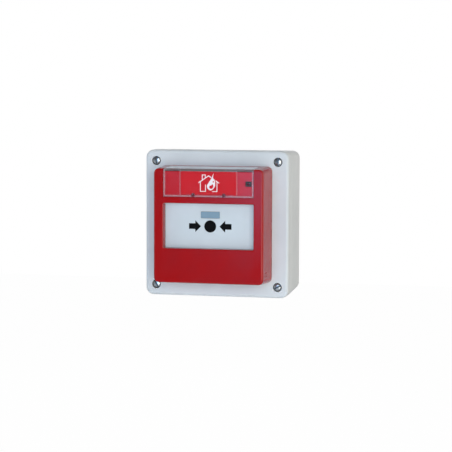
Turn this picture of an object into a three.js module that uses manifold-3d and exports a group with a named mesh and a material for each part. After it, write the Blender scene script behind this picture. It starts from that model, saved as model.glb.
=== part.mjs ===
// A resettable manual call point for a fire alarm, in a weatherproof box.
//
// A grey two-part box is screwed to the wall. Its lid carries a red call point: a mounting base with the
// circuit board and the mechanism, and a front cover hinged on the left that holds a clear flap.
// Pressing the white pane drops a yellow flag behind its window, works a snap-action switch and turns
// the reset cam. A key in the cam pushes the pane out again. Two small holes in the cover's right
// side let a two-pin tool push the latch back.
//
// Units are millimetres. +X is to the right, +Z is up, and the front faces -Y. The wall is the plane y = 0.
// Depths are measured forwards from the wall, so a depth d is the plane y = -d.
import * as THREE from "three";
import { mergeVertices } from "three/addons/utils/BufferGeometryUtils.js";
import Module from "manifold-3d";

const wasm = await Module();
wasm.setup();

// ---------------------------------------------------------------- driving dimensions

const gap = {
  fit: 0.15, // round a piece that is pushed or screwed into its seat
  seat: 0.3, // between two faces that only come close
  run: 0.3, // round a piece that moves
};

const box = {
  width: 114,
  height: 114,
  corner: 6,
  wall: 3.2,
  floor: 3,
  baseDepth: 41,
  draft: 1.6, // each side draws in by this much from the rim to the wall end
  lip: 1, // outer lip of the rim, which keeps the gasket in
};

const lid = { depth: 12, plate: 3, fillet: 2.2 };
const lidGasket = { width: 1.9, thickness: 1.4 };

const lidScrew = {
  inset: 8.5, // of the screw's axis from both sides of the box
  headRadius: 3.1,
  headHeight: 2.5,
  shankRadius: 1.9,
  recess: 3.6, // depth of the counterbore in the lid
  length: 20.7,
  slotWidth: 1.1,
  slotDepth: 1.2,
  room: 0.35, // round the head in its counterbore
  turns: [0, 0, 28, -62], // how far each slot is turned, in degrees
};
const screwSeal = { thickness: 0.8, section: 1.3 };
const insert = { radius: 2.8, length: 10 };

const cableEntry = { radius: 10.25, spacing: 48, depth: 20 };
const grommet = { flange: 2, thickness: 1.4, membrane: 0.8 };
const wallSlot = { radius: 2.6, length: 9, spacing: 76 };

const callPoint = {
  width: 88.4,
  height: 90.2,
  corner: 4,
  depth: 27.5,
  draft: 1.1, // each side draws in by this much from the flange to the front
  wall: 2.2,
  fillet: 1.5,
};

const flange = { thickness: 2 };
const tray = { inset: 3.7, topInset: 5.8, wall: 1.6, depth: 15, floor: 2.5 };
const baseGasket = { inset: 2.6, width: 2.5, thickness: 1.2 };
const baseScrew = { x: 35.5, top: 33.5, bottom: -27.5, headRadius: 3, headHeight: 1.8, radius: 1.5, length: 9 };
const cablePass = { halfWidth: 16, bottom: -28, top: -16 };

const board = { halfWidth: 33.2, top: 36.5, bottom: -37.9, thickness: 1.6, rise: 2, notch: 2.7 };
const boardPost = { radius: 2.2, x: 24, top: 34.2, lowX: 22, low: -25.8 };
const terminal = { near: 6, far: 29.5, bottom: -37.8, top: -29.3, height: 8.5, poles: 4 };
const dial = { xs: [-24, -13, -2], z: 27.5, body: 7.5, height: 4, radius: 2.7, thickness: 1.6 };
const led = { x: 31, z: 32.8, size: 3, height: 1.4 };

const frame = { rise: 5.4, halfWidth: 38.4, halfHeight: 22.5, thickness: 1.6, postX: 36.5, postZ: 20 };

const pane = {
  width: 71, // of the opening it is seen through
  height: 34.8,
  recess: 7.3, // from the front face of the cover to the face of the pane
  thickness: 1.8,
  overlap: 1.5, // how far it reaches behind the sides of the opening
  capture: 2.8, // how far it reaches behind the top and bottom of the opening
  travel: 2.5,
  guideX: 30,
};
const paneWindow = { width: 15.1, height: 5.4, z: 8.3 };
const flag = { halfWidth: 8.75, thickness: 0.8, step: 6.2 };
const spring = { radius: 3.3, wire: 0.3, turns: 4 };

const micro = { left: -26, length: 12.8, bottom: -10.5, width: 6, height: 6 };
const lever = { pivot: 1, rise: 1.7, thickness: 0.4, length: 18, fingerAt: 16 };
const plunger = { at: 6, radius: 0.8, gap: 0.25 };
const fingerGap = 1; // between the pane's finger and the lever at rest

const cam = { depth: 63, radius: 3, arm: 9, armBottom: -14.5, armTop: -11.5, nose: 2.5, pin: 1.3 };

const flap = { halfWidth: 35.3, bottom: 22.45, thickness: 1.6, clearance: 0.45, barrel: 1.45 };
const pocket = { floor: 2.7, topDrop: 3.35, wall: 1.8 };
const card = { halfWidth: 22.2, bottom: 24.3, thickness: 0.5 };
const bezel = { width: 4.6, height: 3.7, flange: 0.9 };
const stud = { x: 12.1, rise: 1.4, radius: 1.2, clearance: 0.2 };

const hinge = { inset: 0.3, ahead: 1.9, radius: 1.5, pin: 0.7, z: 30.2, middle: 4.9, outer: 3 };
const latch = { z: -36.9, width: 5, keyDepth: 10, keySpacing: 2.3, keyRadius: 0.65, travel: 1.5 };
const keyway = { radius: 3.4 };

// ---------------------------------------------------------------- planes worked out from them

const rim = box.baseDepth;
const lidFace = rim + lid.depth;
const flangeFace = lidFace + flange.thickness;
const coverRear = flangeFace + gap.seat + 0.1;
const coverFace = lidFace + callPoint.depth;
const trayFloor = lidFace + tray.floor;
const trayFront = lidFace + tray.depth;
const boardRear = trayFloor + board.rise;
const boardFace = boardRear + board.thickness;
const frameRear = trayFloor + frame.rise;
const frameFace = frameRear + frame.thickness;
const paneFace = coverFace - pane.recess;
const paneRear = paneFace - pane.thickness;
const pocketFloor = coverFace - pocket.floor;
const flapRear = coverFace - flap.thickness;
const cardFace = pocketFloor + gap.fit + card.thickness;

const screwX = box.width / 2 - lidScrew.inset;
const screwZ = box.height / 2 - lidScrew.inset;
const pillarRadius = lidScrew.inset - box.lip - lidGasket.width - 2 * gap.fit - gap.seat;
const headSeat = lidFace - lidScrew.recess;

const halfCover = callPoint.width / 2;
const halfCoverHeight = callPoint.height / 2;
const trayHalf = halfCover - tray.inset;
const trayBottom = -(halfCoverHeight - tray.inset);
const trayTop = halfCoverHeight - tray.topInset;

const hingeX = -(halfCover - hinge.inset);
const hingeDepth = lidFace + hinge.ahead;
const flapAxisDepth = coverRear + 3.5;
const flapAxisZ = halfCoverHeight - 1.6;
const topFloor = halfCoverHeight - pocket.topDrop;

const corners = [
  [-1, 1],
  [1, 1],
  [-1, -1],
  [1, -1],
];

// ---------------------------------------------------------------- finishes

const finish = (color, roughness, metalness = 0, extra = {}) =>
  new THREE.MeshStandardMaterial({ color, roughness, metalness, ...extra });

const finishes = {
  greyPlastic: finish(0xc6cad0, 0.55),
  redPlastic: finish(0xa01b20, 0.4),
  whitePlastic: finish(0xe6e8ea, 0.45),
  clearPlastic: finish(0xf2f6f8, 0.08, 0, { transparent: true, opacity: 0.3 }),
  windowPlastic: finish(0x86a0b2, 0.2),
  darkPlastic: finish(0x2b2d30, 0.5),
  yellowPlastic: finish(0xe8c21a, 0.5),
  terminalPlastic: finish(0x3f7d4c, 0.5),
  board: finish(0x1f5a3a, 0.5),
  rubber: finish(0x1d1d1f, 0.8),
  foam: finish(0x3a3b3d, 0.9),
  steel: finish(0xb9bcc0, 0.3, 1),
  brass: finish(0xb58d3d, 0.35, 1),
  card: finish(0xc4262c, 0.6),
};

// ---------------------------------------------------------------- shapes

// A rectangle with round corners in the plane of the front, centred on (cx, cz).
function roundedRect(width, height, radius, cx = 0, cz = 0) {
  const x = width / 2;
  const z = height / 2;
  const r = Math.max(0.01, Math.min(radius, x - 0.01, z - 0.01));
  const shape = new THREE.Shape();
  shape.absarc(cx + x - r, cz + z - r, r, 0, Math.PI / 2);
  shape.absarc(cx - x + r, cz + z - r, r, Math.PI / 2, Math.PI);
  shape.absarc(cx - x + r, cz - z + r, r, Math.PI, 1.5 * Math.PI);
  shape.absarc(cx + x - r, cz - z + r, r, 1.5 * Math.PI, 2 * Math.PI);
  shape.closePath();
  return shape;
}

// A shape drawn in the plane of the front, made solid from one depth to another.
function slab(shape, from, to, curveSegments = 3) {
  const geometry = new THREE.ExtrudeGeometry(shape, { depth: to - from, bevelEnabled: false, curveSegments });
  return geometry.rotateX(Math.PI / 2).translate(0, -from, 0);
}

// The same, with its front edges rounded. The back end, rounded too, is cut off.
function filletedSlab(shape, from, to, radius) {
  const spare = 2 * radius;
  const options = {
    depth: to - from + spare - 2 * radius,
    bevelThickness: radius,
    bevelSize: radius,
    bevelOffset: -radius,
    bevelSegments: 3,
    curveSegments: 3,
  };
  const geometry = new THREE.ExtrudeGeometry(shape, options).rotateX(Math.PI / 2);
  geometry.translate(0, -(from - spare + radius), 0);
  const reach = 2 * (box.width + box.height);
  return cut(geometry, block(-reach, reach, -reach, reach, from - reach, from));
}

function block(x0, x1, z0, z1, d0, d1) {
  const geometry = new THREE.BoxGeometry(x1 - x0, d1 - d0, z1 - z0);
  return geometry.translate((x0 + x1) / 2, -(d0 + d1) / 2, (z0 + z1) / 2);
}

// Round bars along the depth, along Z and along X.
function barForward(x, z, radius, d0, d1, sides = 16) {
  return new THREE.CylinderGeometry(radius, radius, d1 - d0, sides).translate(x, -(d0 + d1) / 2, z);
}

function barUp(x, depth, radius, z0, z1, sides = 16) {
  const geometry = new THREE.CylinderGeometry(radius, radius, z1 - z0, sides).rotateX(Math.PI / 2);
  return geometry.translate(x, -depth, (z0 + z1) / 2);
}

function barAcross(z, depth, radius, x0, x1, sides = 16) {
  const geometry = new THREE.CylinderGeometry(radius, radius, x1 - x0, sides).rotateZ(Math.PI / 2);
  return geometry.translate((x0 + x1) / 2, -depth, z);
}

// Moves every side in towards the axis: the scale goes from 1 at depth `full` to its least at depth `small`.
function drafted(geometry, full, small, halfWidth, halfHeight, draft) {
  const p = geometry.getAttribute("position");
  for (let i = 0; i < p.count; i += 1) {
    const share = (-p.getY(i) - full) / (small - full);
    p.setX(i, p.getX(i) * (1 - (share * draft) / halfWidth));
    p.setZ(i, p.getZ(i) * (1 - (share * draft) / halfHeight));
  }
  return geometry;
}

// A coil spring round the line through the origin along X, `length` long.
function coil(radius, wire, turns, length) {
  const points = [];
  const perTurn = 9;
  for (let i = 0; i <= turns * perTurn; i += 1) {
    const angle = (2 * Math.PI * i) / perTurn;
    const along = wire + ((length - 2 * wire) * i) / (turns * perTurn);
    points.push(new THREE.Vector3(along, radius * Math.cos(angle), radius * Math.sin(angle)));
  }
  const section = new THREE.Shape().absarc(0, 0, wire, 0, 2 * Math.PI);
  const options = {
    steps: turns * perTurn,
    extrudePath: new THREE.CatmullRomCurve3(points),
    bevelEnabled: false,
    curveSegments: 3,
  };
  return new THREE.ExtrudeGeometry(section, options);
}

// ---------------------------------------------------------------- joining and cutting

function solid(part) {
  if (part instanceof wasm.Manifold) return part;
  const bare = part.index ? part.toNonIndexed() : part.clone();
  bare.deleteAttribute("normal");
  bare.deleteAttribute("uv");
  const merged = mergeVertices(bare, 1e-4);
  return new wasm.Manifold(
    new wasm.Mesh({
      numProp: 3,
      vertProperties: merged.attributes.position.array,
      triVerts: new Uint32Array(merged.index.array),
    }),
  );
}

const join = (...parts) => parts.map(solid).reduce((a, b) => a.add(b));
const cut = (body, ...tools) => tools.reduce((a, b) => a.subtract(solid(b)), solid(body));
const common = (a, b) => solid(a).intersect(solid(b));

const callPointGroup = new THREE.Group();

function add(name, part, material, parent = callPointGroup) {
  const made = solid(part).getMesh();
  const geometry = new THREE.BufferGeometry();
  geometry.setAttribute("position", new THREE.BufferAttribute(made.vertProperties, 3));
  geometry.setIndex(new THREE.BufferAttribute(made.triVerts, 1));
  geometry.computeVertexNormals();
  const mesh = new THREE.Mesh(geometry, material);
  mesh.name = name;
  parent.add(mesh);
  return mesh;
}

// ---------------------------------------------------------------- the weatherproof box

const boxDraft = (geometry) => drafted(geometry, rim, 0, box.width / 2, box.height / 2, box.draft);

// A cable entry's place: on the outside of the drafted bottom wall, turned with it.
function entryFrame(side) {
  const z = -(box.height / 2 - (box.draft * (rim - cableEntry.depth)) / rim);
  const place = new THREE.Matrix4().makeTranslation((side * cableEntry.spacing) / 2, -cableEntry.depth, z);
  return place.multiply(new THREE.Matrix4().makeRotationX(Math.atan(box.draft / rim)));
}

function wallSlots() {
  const half = wallSlot.spacing / 2;
  return corners.map(([sx, sz]) => {
    const shape = roundedRect(wallSlot.length, 2 * wallSlot.radius, wallSlot.radius, sx * half, sz * half);
    return slab(shape, -1, box.floor + 1);
  });
}

function boxBase() {
  const outline = roundedRect(box.width, box.height, box.corner);
  const inner = roundedRect(box.width - 2 * box.wall, box.height - 2 * box.wall, box.corner - box.wall);
  const ledge = roundedRect(box.width - 2 * box.lip, box.height - 2 * box.lip, box.corner - box.lip);
  const shell = cut(
    boxDraft(slab(outline, 0, rim)),
    boxDraft(slab(inner, box.floor, rim + 1)),
    slab(ledge, rim - lidGasket.thickness, rim + 1),
  );
  const pillars = corners.map(([sx, sz]) =>
    barForward(sx * screwX, sz * screwZ, pillarRadius, box.floor / 2, rim),
  );
  const insertHoles = corners.map(([sx, sz]) =>
    barForward(sx * screwX, sz * screwZ, insert.radius + gap.fit, rim - insert.length - 4, rim + 1),
  );
  const entries = [-1, 1].map((side) =>
    new THREE.CylinderGeometry(cableEntry.radius, cableEntry.radius, 4 * box.wall, 28)
      .rotateX(Math.PI / 2)
      .applyMatrix4(entryFrame(side)),
  );
  return cut(join(shell, ...pillars), ...insertHoles, ...entries, ...wallSlots());
}

function lidGasketRing() {
  const inset = box.lip + gap.fit;
  const outer = roundedRect(box.width - 2 * inset, box.height - 2 * inset, box.corner - inset);
  const inside = inset + lidGasket.width;
  const inner = roundedRect(box.width - 2 * inside, box.height - 2 * inside, box.corner - inside);
  const from = rim - lidGasket.thickness;
  return cut(slab(outer, from, rim), slab(inner, from - 1, rim + 1));
}

function baseScrewPlaces() {
  return corners.map(([sx, sz]) => [sx * baseScrew.x, sz > 0 ? baseScrew.top : baseScrew.bottom]);
}

function boxLid() {
  const outline = roundedRect(box.width, box.height, box.corner);
  const inner = roundedRect(box.width - 2 * box.wall, box.height - 2 * box.wall, box.corner - box.wall);
  const under = lidFace - lid.plate;
  const shell = cut(filletedSlab(outline, rim, lidFace, lid.fillet), slab(inner, rim - 1, under));
  const pillars = corners.map(([sx, sz]) => barForward(sx * screwX, sz * screwZ, pillarRadius, rim, under + 1));
  const bossDepth = baseScrew.length - tray.floor - lid.plate + 1;
  const bosses = baseScrewPlaces().map(([x, z]) => barForward(x, z, 3.6, under - bossDepth, under + 1));
  const holes = corners.flatMap(([sx, sz]) => [
    barForward(sx * screwX, sz * screwZ, lidScrew.shankRadius + 0.4, rim - 1, lidFace + 1),
    barForward(sx * screwX, sz * screwZ, lidScrew.headRadius + lidScrew.room, headSeat, lidFace + 1, 28),
  ]);
  const pilots = baseScrewPlaces().map(([x, z]) =>
    barForward(x, z, baseScrew.radius + gap.fit, under - bossDepth - 1, lidFace + 1, 12),
  );
  const pass = block(-cablePass.halfWidth, cablePass.halfWidth, cablePass.bottom, cablePass.top, rim, lidFace + 1);
  return cut(join(shell, ...pillars, ...bosses), ...holes, ...pilots, pass);
}

// Drawn along its own axis from the underside of the head, then set in its counterbore.
function lidScrewSolid(turn) {
  const seat = headSeat + screwSeal.thickness;
  const tip = seat + gap.fit - lidScrew.length;
  const top = seat + lidScrew.headHeight;
  const profile = [
    [0, top],
    [lidScrew.headRadius * 0.6, top],
    [lidScrew.headRadius * 0.9, top - 0.35],
    [lidScrew.headRadius, top - 0.9],
    [lidScrew.headRadius, seat + 0.02],
    [lidScrew.shankRadius, seat + 0.02],
    [lidScrew.shankRadius, tip + 1],
    [lidScrew.shankRadius * 0.6, tip],
    [0, tip],
  ].map(([r, depth]) => new THREE.Vector2(r, -depth));
  const body = new THREE.LatheGeometry(profile, 20);
  const bite = top - lidScrew.slotDepth;
  const width = lidScrew.slotWidth / 2;
  const reach = lidScrew.headRadius + 1;
  const slot = block(-width, width, -reach, reach, bite, top + 1);
  return cut(body, slot.rotateY(THREE.MathUtils.degToRad(turn)));
}

function screwSealRing() {
  const inner = lidScrew.shankRadius + 0.2;
  const outer = barForward(0, 0, inner + screwSeal.section, headSeat, headSeat + screwSeal.thickness);
  return cut(outer, barForward(0, 0, inner, headSeat - 1, headSeat + 2));
}

function threadedInsert() {
  const outer = barForward(0, 0, insert.radius, rim - gap.seat - insert.length, rim - gap.seat, 20);
  return cut(outer, barForward(0, 0, lidScrew.shankRadius + 0.2, 0, rim + 1, 20));
}

// A blind rubber grommet: two flanges either side of the wall and a thin membrane to cut for the cable.
function cableGrommet() {
  const r = cableEntry.radius - gap.fit;
  const out = -grommet.thickness - gap.fit;
  const back = box.wall + gap.fit;
  const profile = [
    [0, out],
    [r - 2, out],
    [r + grommet.flange, out],
    [r + grommet.flange, -gap.fit],
    [r, -gap.fit],
    [r, back],
    [r + grommet.flange * 0.6, back],
    [r - 1, back + grommet.thickness],
    [r - 2, back + grommet.thickness],
    [r - 2, out + grommet.membrane],
    [0, out + grommet.membrane],
  ].map(([radius, z]) => new THREE.Vector2(radius, z));
  return new THREE.LatheGeometry(profile, 28).rotateX(Math.PI / 2);
}

// ---------------------------------------------------------------- the mounting base

const hingeZones = [1, -1].map((side) => {
  const centre = side * hinge.z;
  const half = hinge.middle / 2;
  return {
    cover: [centre - half, centre + half],
    base: [
      [centre - half - gap.run - hinge.outer, centre - half - gap.run],
      [centre + half + gap.run, centre + half + gap.run + hinge.outer],
    ],
  };
});

const hingeBar = (radius, [from, to], sides) => barUp(hingeX, hingeDepth, radius, from, to, sides);

// The pin's hole through all three knuckles of each hinge.
const hingeHoles = () =>
  hingeZones.map(({ base }) => hingeBar(hinge.pin + gap.fit, [base[0][0] - 1, base[1][1] + 1], 12));

const widened = ([from, to], by) => [from - by, to + by];

const latchBottom = latch.z - latch.width / 2;
const latchTop = latch.z + latch.width / 2;
const latchWindow = [latch.z - 2.2, latch.z + 2.2];
const latchStop = board.halfWidth - board.notch + 1.5;
const latchNear = latchStop + latch.travel + gap.run;
const latchFar = trayHalf - tray.wall - 0.1 + gap.run;
const noseDepth = [62, 64];
const keyDepth = coverFace - latch.keyDepth;

function latchGuides() {
  const inner = trayHalf - tray.wall;
  const top = latchTop + gap.run;
  return [
    block(latchStop - 1, latchStop, trayBottom, top + 1.2, trayFloor, trayFront),
    block(latchStop - 1, inner + 0.5, top, top + 1.2, trayFloor, trayFront),
    block(latchStop - 1, inner + 0.5, top - 1.5, top + 0.1, trayFloor - 0.1, noseDepth[0] - 3),
  ];
}

function boardPosts() {
  return [
    [-boardPost.x, boardPost.top],
    [boardPost.x, boardPost.top],
    [-boardPost.lowX, boardPost.low],
    [boardPost.lowX, boardPost.low],
  ];
}

const framePosts = corners.map(([sx, sz]) => [sx * frame.postX, sz * frame.postZ]);

function mountingBase() {
  const trayHeight = trayTop - trayBottom;
  const trayMiddle = (trayTop + trayBottom) / 2;
  const outer = roundedRect(2 * trayHalf, trayHeight, 2.5, 0, trayMiddle);
  const innerWidth = 2 * (trayHalf - tray.wall);
  const inner = roundedRect(innerWidth, trayHeight - 2 * tray.wall, 0.4, 0, trayMiddle);
  const plate = slab(roundedRect(callPoint.width, callPoint.height, callPoint.corner), lidFace, flangeFace);
  const shell = cut(join(plate, slab(outer, lidFace, trayFront)), slab(inner, trayFloor, trayFront + 1));

  const posts = [
    ...boardPosts().map(([x, z]) => barForward(x, z, boardPost.radius, trayFloor - 0.5, boardRear, 16)),
    ...framePosts.map(([x, z]) => barForward(x, z, 2.9, trayFloor - 0.5, frameRear, 16)),
  ];
  const knuckles = hingeZones.flatMap(({ base }) => base.map((zone) => hingeBar(hinge.radius, zone)));
  const knuckleRoots = hingeZones.flatMap(({ base }) =>
    base.map(([from, to]) => block(hingeX, hingeX + 2, from, to, lidFace + 0.4, flangeFace)),
  );
  const coverKnuckleRoom = hingeZones.map(({ cover }) =>
    hingeBar(hinge.radius + gap.run, widened(cover, gap.run)),
  );

  const gasketOuter = baseGasket.inset - gap.fit;
  const gasketInner = baseGasket.inset + baseGasket.width + gap.fit;
  const ring = (inset, corner) =>
    roundedRect(callPoint.width - 2 * inset, callPoint.height - 2 * inset, corner);
  const groove = cut(
    slab(ring(gasketOuter, 3), lidFace - 1, lidFace + baseGasket.thickness),
    slab(ring(gasketInner, 1.5), lidFace - 2, lidFace + 3),
  );
  const screwHoles = baseScrewPlaces().map(([x, z]) =>
    barForward(x, z, baseScrew.radius + 0.3, lidFace - 1, trayFloor + 1, 16),
  );
  const postHoles = [
    ...boardPosts().map(([x, z]) => barForward(x, z, 0.95, trayFloor - 0.5, boardRear + 1, 12)),
    ...framePosts.map(([x, z]) => barForward(x, z, 1.1, trayFloor, frameRear + 1, 12)),
  ];
  const cable = block(
    -cablePass.halfWidth,
    cablePass.halfWidth,
    cablePass.bottom,
    cablePass.top,
    lidFace - 1,
    trayFloor + 1,
  );
  const latchNotch = block(trayHalf - 3, trayHalf + 1, ...latchWindow, noseDepth[0] - 0.4, trayFront + 1);
  const camBearing = barUp(0, cam.depth, cam.radius + gap.run, trayBottom - 1, trayBottom + 3);
  return cut(
    join(cut(shell, ...coverKnuckleRoom, groove), ...posts, ...knuckleRoots, ...knuckles, ...latchGuides()),
    ...hingeHoles(),
    ...screwHoles,
    ...postHoles,
    cable,
    latchNotch,
    camBearing,
  );
}

function mountingGasket() {
  const ring = (inset, corner) =>
    roundedRect(callPoint.width - 2 * inset, callPoint.height - 2 * inset, corner);
  const inside = baseGasket.inset + baseGasket.width;
  return cut(
    slab(ring(baseGasket.inset, 3), lidFace, lidFace + baseGasket.thickness - gap.fit),
    slab(ring(inside, 1.5), lidFace - 1, lidFace + 2),
  );
}

// A pan-head screw along the depth with a cross recess, its head resting on `seat`.
function panScrew(headRadius, headHeight, radius, seat, length) {
  const body = join(
    barForward(0, 0, headRadius, seat, seat + headHeight, 16),
    barForward(0, 0, radius, seat - length, seat + 0.1, 12),
  );
  const bite = seat + headHeight / 2;
  const arm = headRadius * 0.55;
  const width = headRadius * 0.12;
  return cut(
    body,
    block(-arm, arm, -width, width, bite, seat + headHeight + 1),
    block(-width, width, -arm, arm, bite, seat + headHeight + 1),
  );
}

// ---------------------------------------------------------------- the circuit board and what is on it

function circuitBoard() {
  const { halfWidth, top, bottom, notch } = board;
  const narrow = halfWidth - notch;
  const shoulder = baseScrew.bottom - 1;
  const outline = new THREE.Shape(
    [
      [-narrow, bottom],
      [narrow, bottom],
      [narrow, shoulder],
      [halfWidth, shoulder + notch],
      [halfWidth, baseScrew.top - 4],
      [halfWidth, top],
      [-halfWidth + notch, top],
      [-halfWidth, top - notch],
      [-halfWidth, shoulder + notch],
      [-narrow, shoulder],
    ].map(([x, z]) => new THREE.Vector2(x, z)),
  );
  const holes = boardPosts().map(([x, z]) => barForward(x, z, 1.1, boardRear - 1, boardFace + 1, 12));
  const screwRoom = baseScrewPlaces().map(([x, z]) =>
    barForward(x, z, baseScrew.headRadius + gap.seat, boardRear - 1, boardFace + 1, 16),
  );
  const cable = block(-14, 14, cablePass.bottom + 1.5, cablePass.top - 1.5, boardRear - 1, boardFace + 1);
  return cut(slab(outline, boardRear, boardFace), ...holes, ...screwRoom, cable);
}

function terminalBlock(side) {
  const { near, far, bottom, top, height, poles } = terminal;
  const left = side > 0 ? near : -far;
  const front = boardFace + height;
  const pitch = (far - near) / poles;
  const body = block(left, left + far - near, bottom, top, boardFace, front);
  const tools = [];
  for (let i = 0; i < poles; i += 1) {
    const x = left + (i + 0.5) * pitch;
    tools.push(barForward(x, top - 3, 1.7, front - 1.6, front + 1, 12));
    tools.push(block(x - 1.8, x + 1.8, bottom - 1, bottom + 3.6, boardFace + 2.2, boardFace + 5.8));
  }
  return cut(body, ...tools);
}

const dialSeat = boardFace + dial.height - 1.3;

function addressSwitch(x) {
  const half = dial.body / 2;
  const body = block(x - half, x + half, dial.z - half, dial.z + half, boardFace, boardFace + dial.height);
  return cut(body, barForward(x, dial.z, dial.radius + 0.2, dialSeat - 0.3, boardFace + dial.height + 1));
}

// The dial is drawn round its own axis; its slot points at the chosen digit.
function addressDial() {
  const body = barForward(0, 0, dial.radius, dialSeat, dialSeat + dial.thickness);
  return cut(body, block(-0.4, 0.4, -1.2, dial.radius * 0.8, dialSeat + dial.thickness - 0.7, boardFace + 9));
}

function statusLed() {
  const { x, z, size, height } = led;
  const half = size / 2;
  return join(
    block(x - half, x + half, z - half, z + half, boardFace, boardFace + height),
    barForward(x, z, 1.1, boardFace + height - 0.2, boardFace + height + 0.6, 16),
  );
}

// ---------------------------------------------------------------- the mechanism

const paneHalfWidth = pane.width / 2 + pane.overlap;
const paneHalfHeight = pane.height / 2 + pane.capture;
const leverDepth = boardFace + micro.height + lever.rise;
const leverFace = leverDepth + lever.thickness;
const pivotX = micro.left + lever.pivot;
const fingerX = pivotX + lever.fingerAt;
const microMiddle = micro.bottom + micro.width / 2;
const sleeve = { outer: 2.5, bore: 1.8, length: 4.9 };
const hook = { x: 23, halfWidth: 3, stem: 0.8 };

function mechanismFrame() {
  const { halfWidth, halfHeight } = frame;
  const plate = slab(roundedRect(2 * halfWidth, 2 * halfHeight, 2), frameRear, frameFace);
  const guides = [-1, 1].map((side) =>
    barForward(
      side * pane.guideX,
      0,
      sleeve.bore - gap.run,
      frameFace - 0.5,
      paneRear - pane.travel - 0.8,
      16,
    ),
  );
  const stemNear = paneHalfHeight + 0.5;
  const lipNear = paneHalfHeight - 1.2;
  const lip = paneFace + gap.seat;
  const hooks = corners.flatMap(([sx, sz]) => {
    const x = sx * hook.x;
    const stem = [sz * stemNear, sz * (stemNear + hook.stem)].sort((a, b) => a - b);
    const nib = [sz * lipNear, sz * (stemNear + hook.stem)].sort((a, b) => a - b);
    return [
      block(x - hook.halfWidth, x + hook.halfWidth, ...stem, frameRear, lip + hook.stem),
      block(x - hook.halfWidth, x + hook.halfWidth, ...nib, lip, lip + hook.stem),
    ];
  });
  const bracketBottom = cam.armTop + 1.4;
  const bracket = block(-3.6, 3.6, bracketBottom, bracketBottom + 3, frameRear, cam.depth + 3.6);
  const switchRoom = block(
    micro.left - 1,
    pivotX + lever.length + 1,
    micro.bottom - 1,
    micro.bottom + micro.width + 0.6,
    frameRear - 1,
    frameFace + 1,
  );
  const camRoom = [
    block(-5, cam.arm + 3.5, -halfHeight - 1, bracketBottom, frameRear - 1, frameFace + 1),
    block(-cablePass.halfWidth, cablePass.halfWidth, -halfHeight - 1, cablePass.top, 0, frameFace + 1),
  ];
  const camPin = barUp(0, cam.depth, cam.pin + gap.run, bracketBottom - 1, bracketBottom + 4, 16);
  const screws = framePosts.map(([x, z]) => barForward(x, z, 1.2, frameRear - 1, frameFace + 1, 12));
  const body = join(cut(plate, switchRoom, ...camRoom), bracket, ...guides, ...hooks);
  return cut(body, camPin, ...screws);
}

function operatingPane() {
  const outline = roundedRect(2 * paneHalfWidth, 2 * paneHalfHeight, 1);
  const window = roundedRect(paneWindow.width, paneWindow.height, 0.4, 0, paneWindow.z);
  const plate = cut(slab(outline, paneRear, paneFace), slab(window, paneRear - 1, paneFace + 1));
  const sleeves = [-1, 1].map((side) =>
    cut(
      barForward(side * pane.guideX, 0, sleeve.outer, paneRear - sleeve.length, paneRear + 0.2, 16),
      barForward(side * pane.guideX, 0, sleeve.bore, paneRear - sleeve.length - 1, paneRear - 0.01, 16),
    ),
  );
  const railNear = flag.halfWidth + gap.run;
  const lipDepth = paneRear - 0.4 - flag.thickness - gap.run;
  const railTop = paneWindow.z + paneWindow.height / 2 + flag.step + 0.4;
  const railBottom = paneWindow.z - paneWindow.height / 2 - flag.step - 1.9;
  const rails = [-1, 1].flatMap((side) => {
    const wall = [side * railNear, side * (railNear + 1.2)].sort((a, b) => a - b);
    const lip = [side * (railNear - 1.2), side * (railNear + 1.2)].sort((a, b) => a - b);
    return [
      block(...wall, railBottom, railTop, lipDepth - 0.8, paneRear + 0.2),
      block(...lip, railBottom, railTop, lipDepth - 0.8, lipDepth),
    ];
  });
  const finger = block(
    fingerX - 1,
    fingerX + 1,
    microMiddle - 1.3,
    microMiddle + 1.3,
    leverFace + fingerGap,
    paneRear + 0.2,
  );
  return join(plate, ...sleeves, ...rails, finger);
}

function paneWindowPlug() {
  const width = paneWindow.width - 2 * gap.fit;
  const height = paneWindow.height - 2 * gap.fit;
  return slab(roundedRect(width, height, 0.3, 0, paneWindow.z), paneRear + 0.2, paneFace - 0.1);
}

function indicatorFlag() {
  const bottom = paneWindow.z - paneWindow.height / 2 - 0.6;
  const front = paneRear - 0.4;
  return block(-flag.halfWidth, flag.halfWidth, bottom, bottom + 2 * flag.step, front - flag.thickness, front);
}

function paneSpring() {
  const length = paneRear - frameFace - 0.2;
  const geometry = coil(spring.radius, spring.wire, spring.turns, length).rotateZ(-Math.PI / 2);
  return geometry.translate(0, -(frameFace + 0.1), 0);
}

function microSwitch() {
  const right = micro.left + micro.length;
  const top = micro.bottom + micro.width;
  const front = boardFace + micro.height;
  const body = block(micro.left, right, micro.bottom, top, boardFace, front);
  const ears = [-1, 1].map((side) =>
    block(
      micro.left,
      pivotX + 0.9,
      microMiddle + side * 2.5 - 0.4,
      microMiddle + side * 2.5 + 0.4,
      front - 0.1,
      leverFace + 0.7,
    ),
  );
  const pinHole = barUp(pivotX, leverDepth + 0.2, 0.55, micro.bottom - 1, top + 1, 12);
  const plungerHole = barForward(
    micro.left + plunger.at,
    microMiddle,
    plunger.radius + 0.2,
    front - 2,
    front + 1,
    12,
  );
  return cut(join(body, ...ears), pinHole, plungerHole);
}

function switchLever() {
  const blade = block(
    pivotX,
    pivotX + lever.length,
    microMiddle - 1.7,
    microMiddle + 1.7,
    leverDepth,
    leverFace,
  );
  const axle = barUp(pivotX, leverDepth + 0.2, 0.4, microMiddle - 2.8, microMiddle + 2.8, 12);
  return join(blade, axle);
}

function switchPlunger() {
  const front = boardFace + micro.height;
  const x = micro.left + plunger.at;
  return barForward(x, microMiddle, plunger.radius, front - 1, leverDepth - plunger.gap, 12);
}

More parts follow.
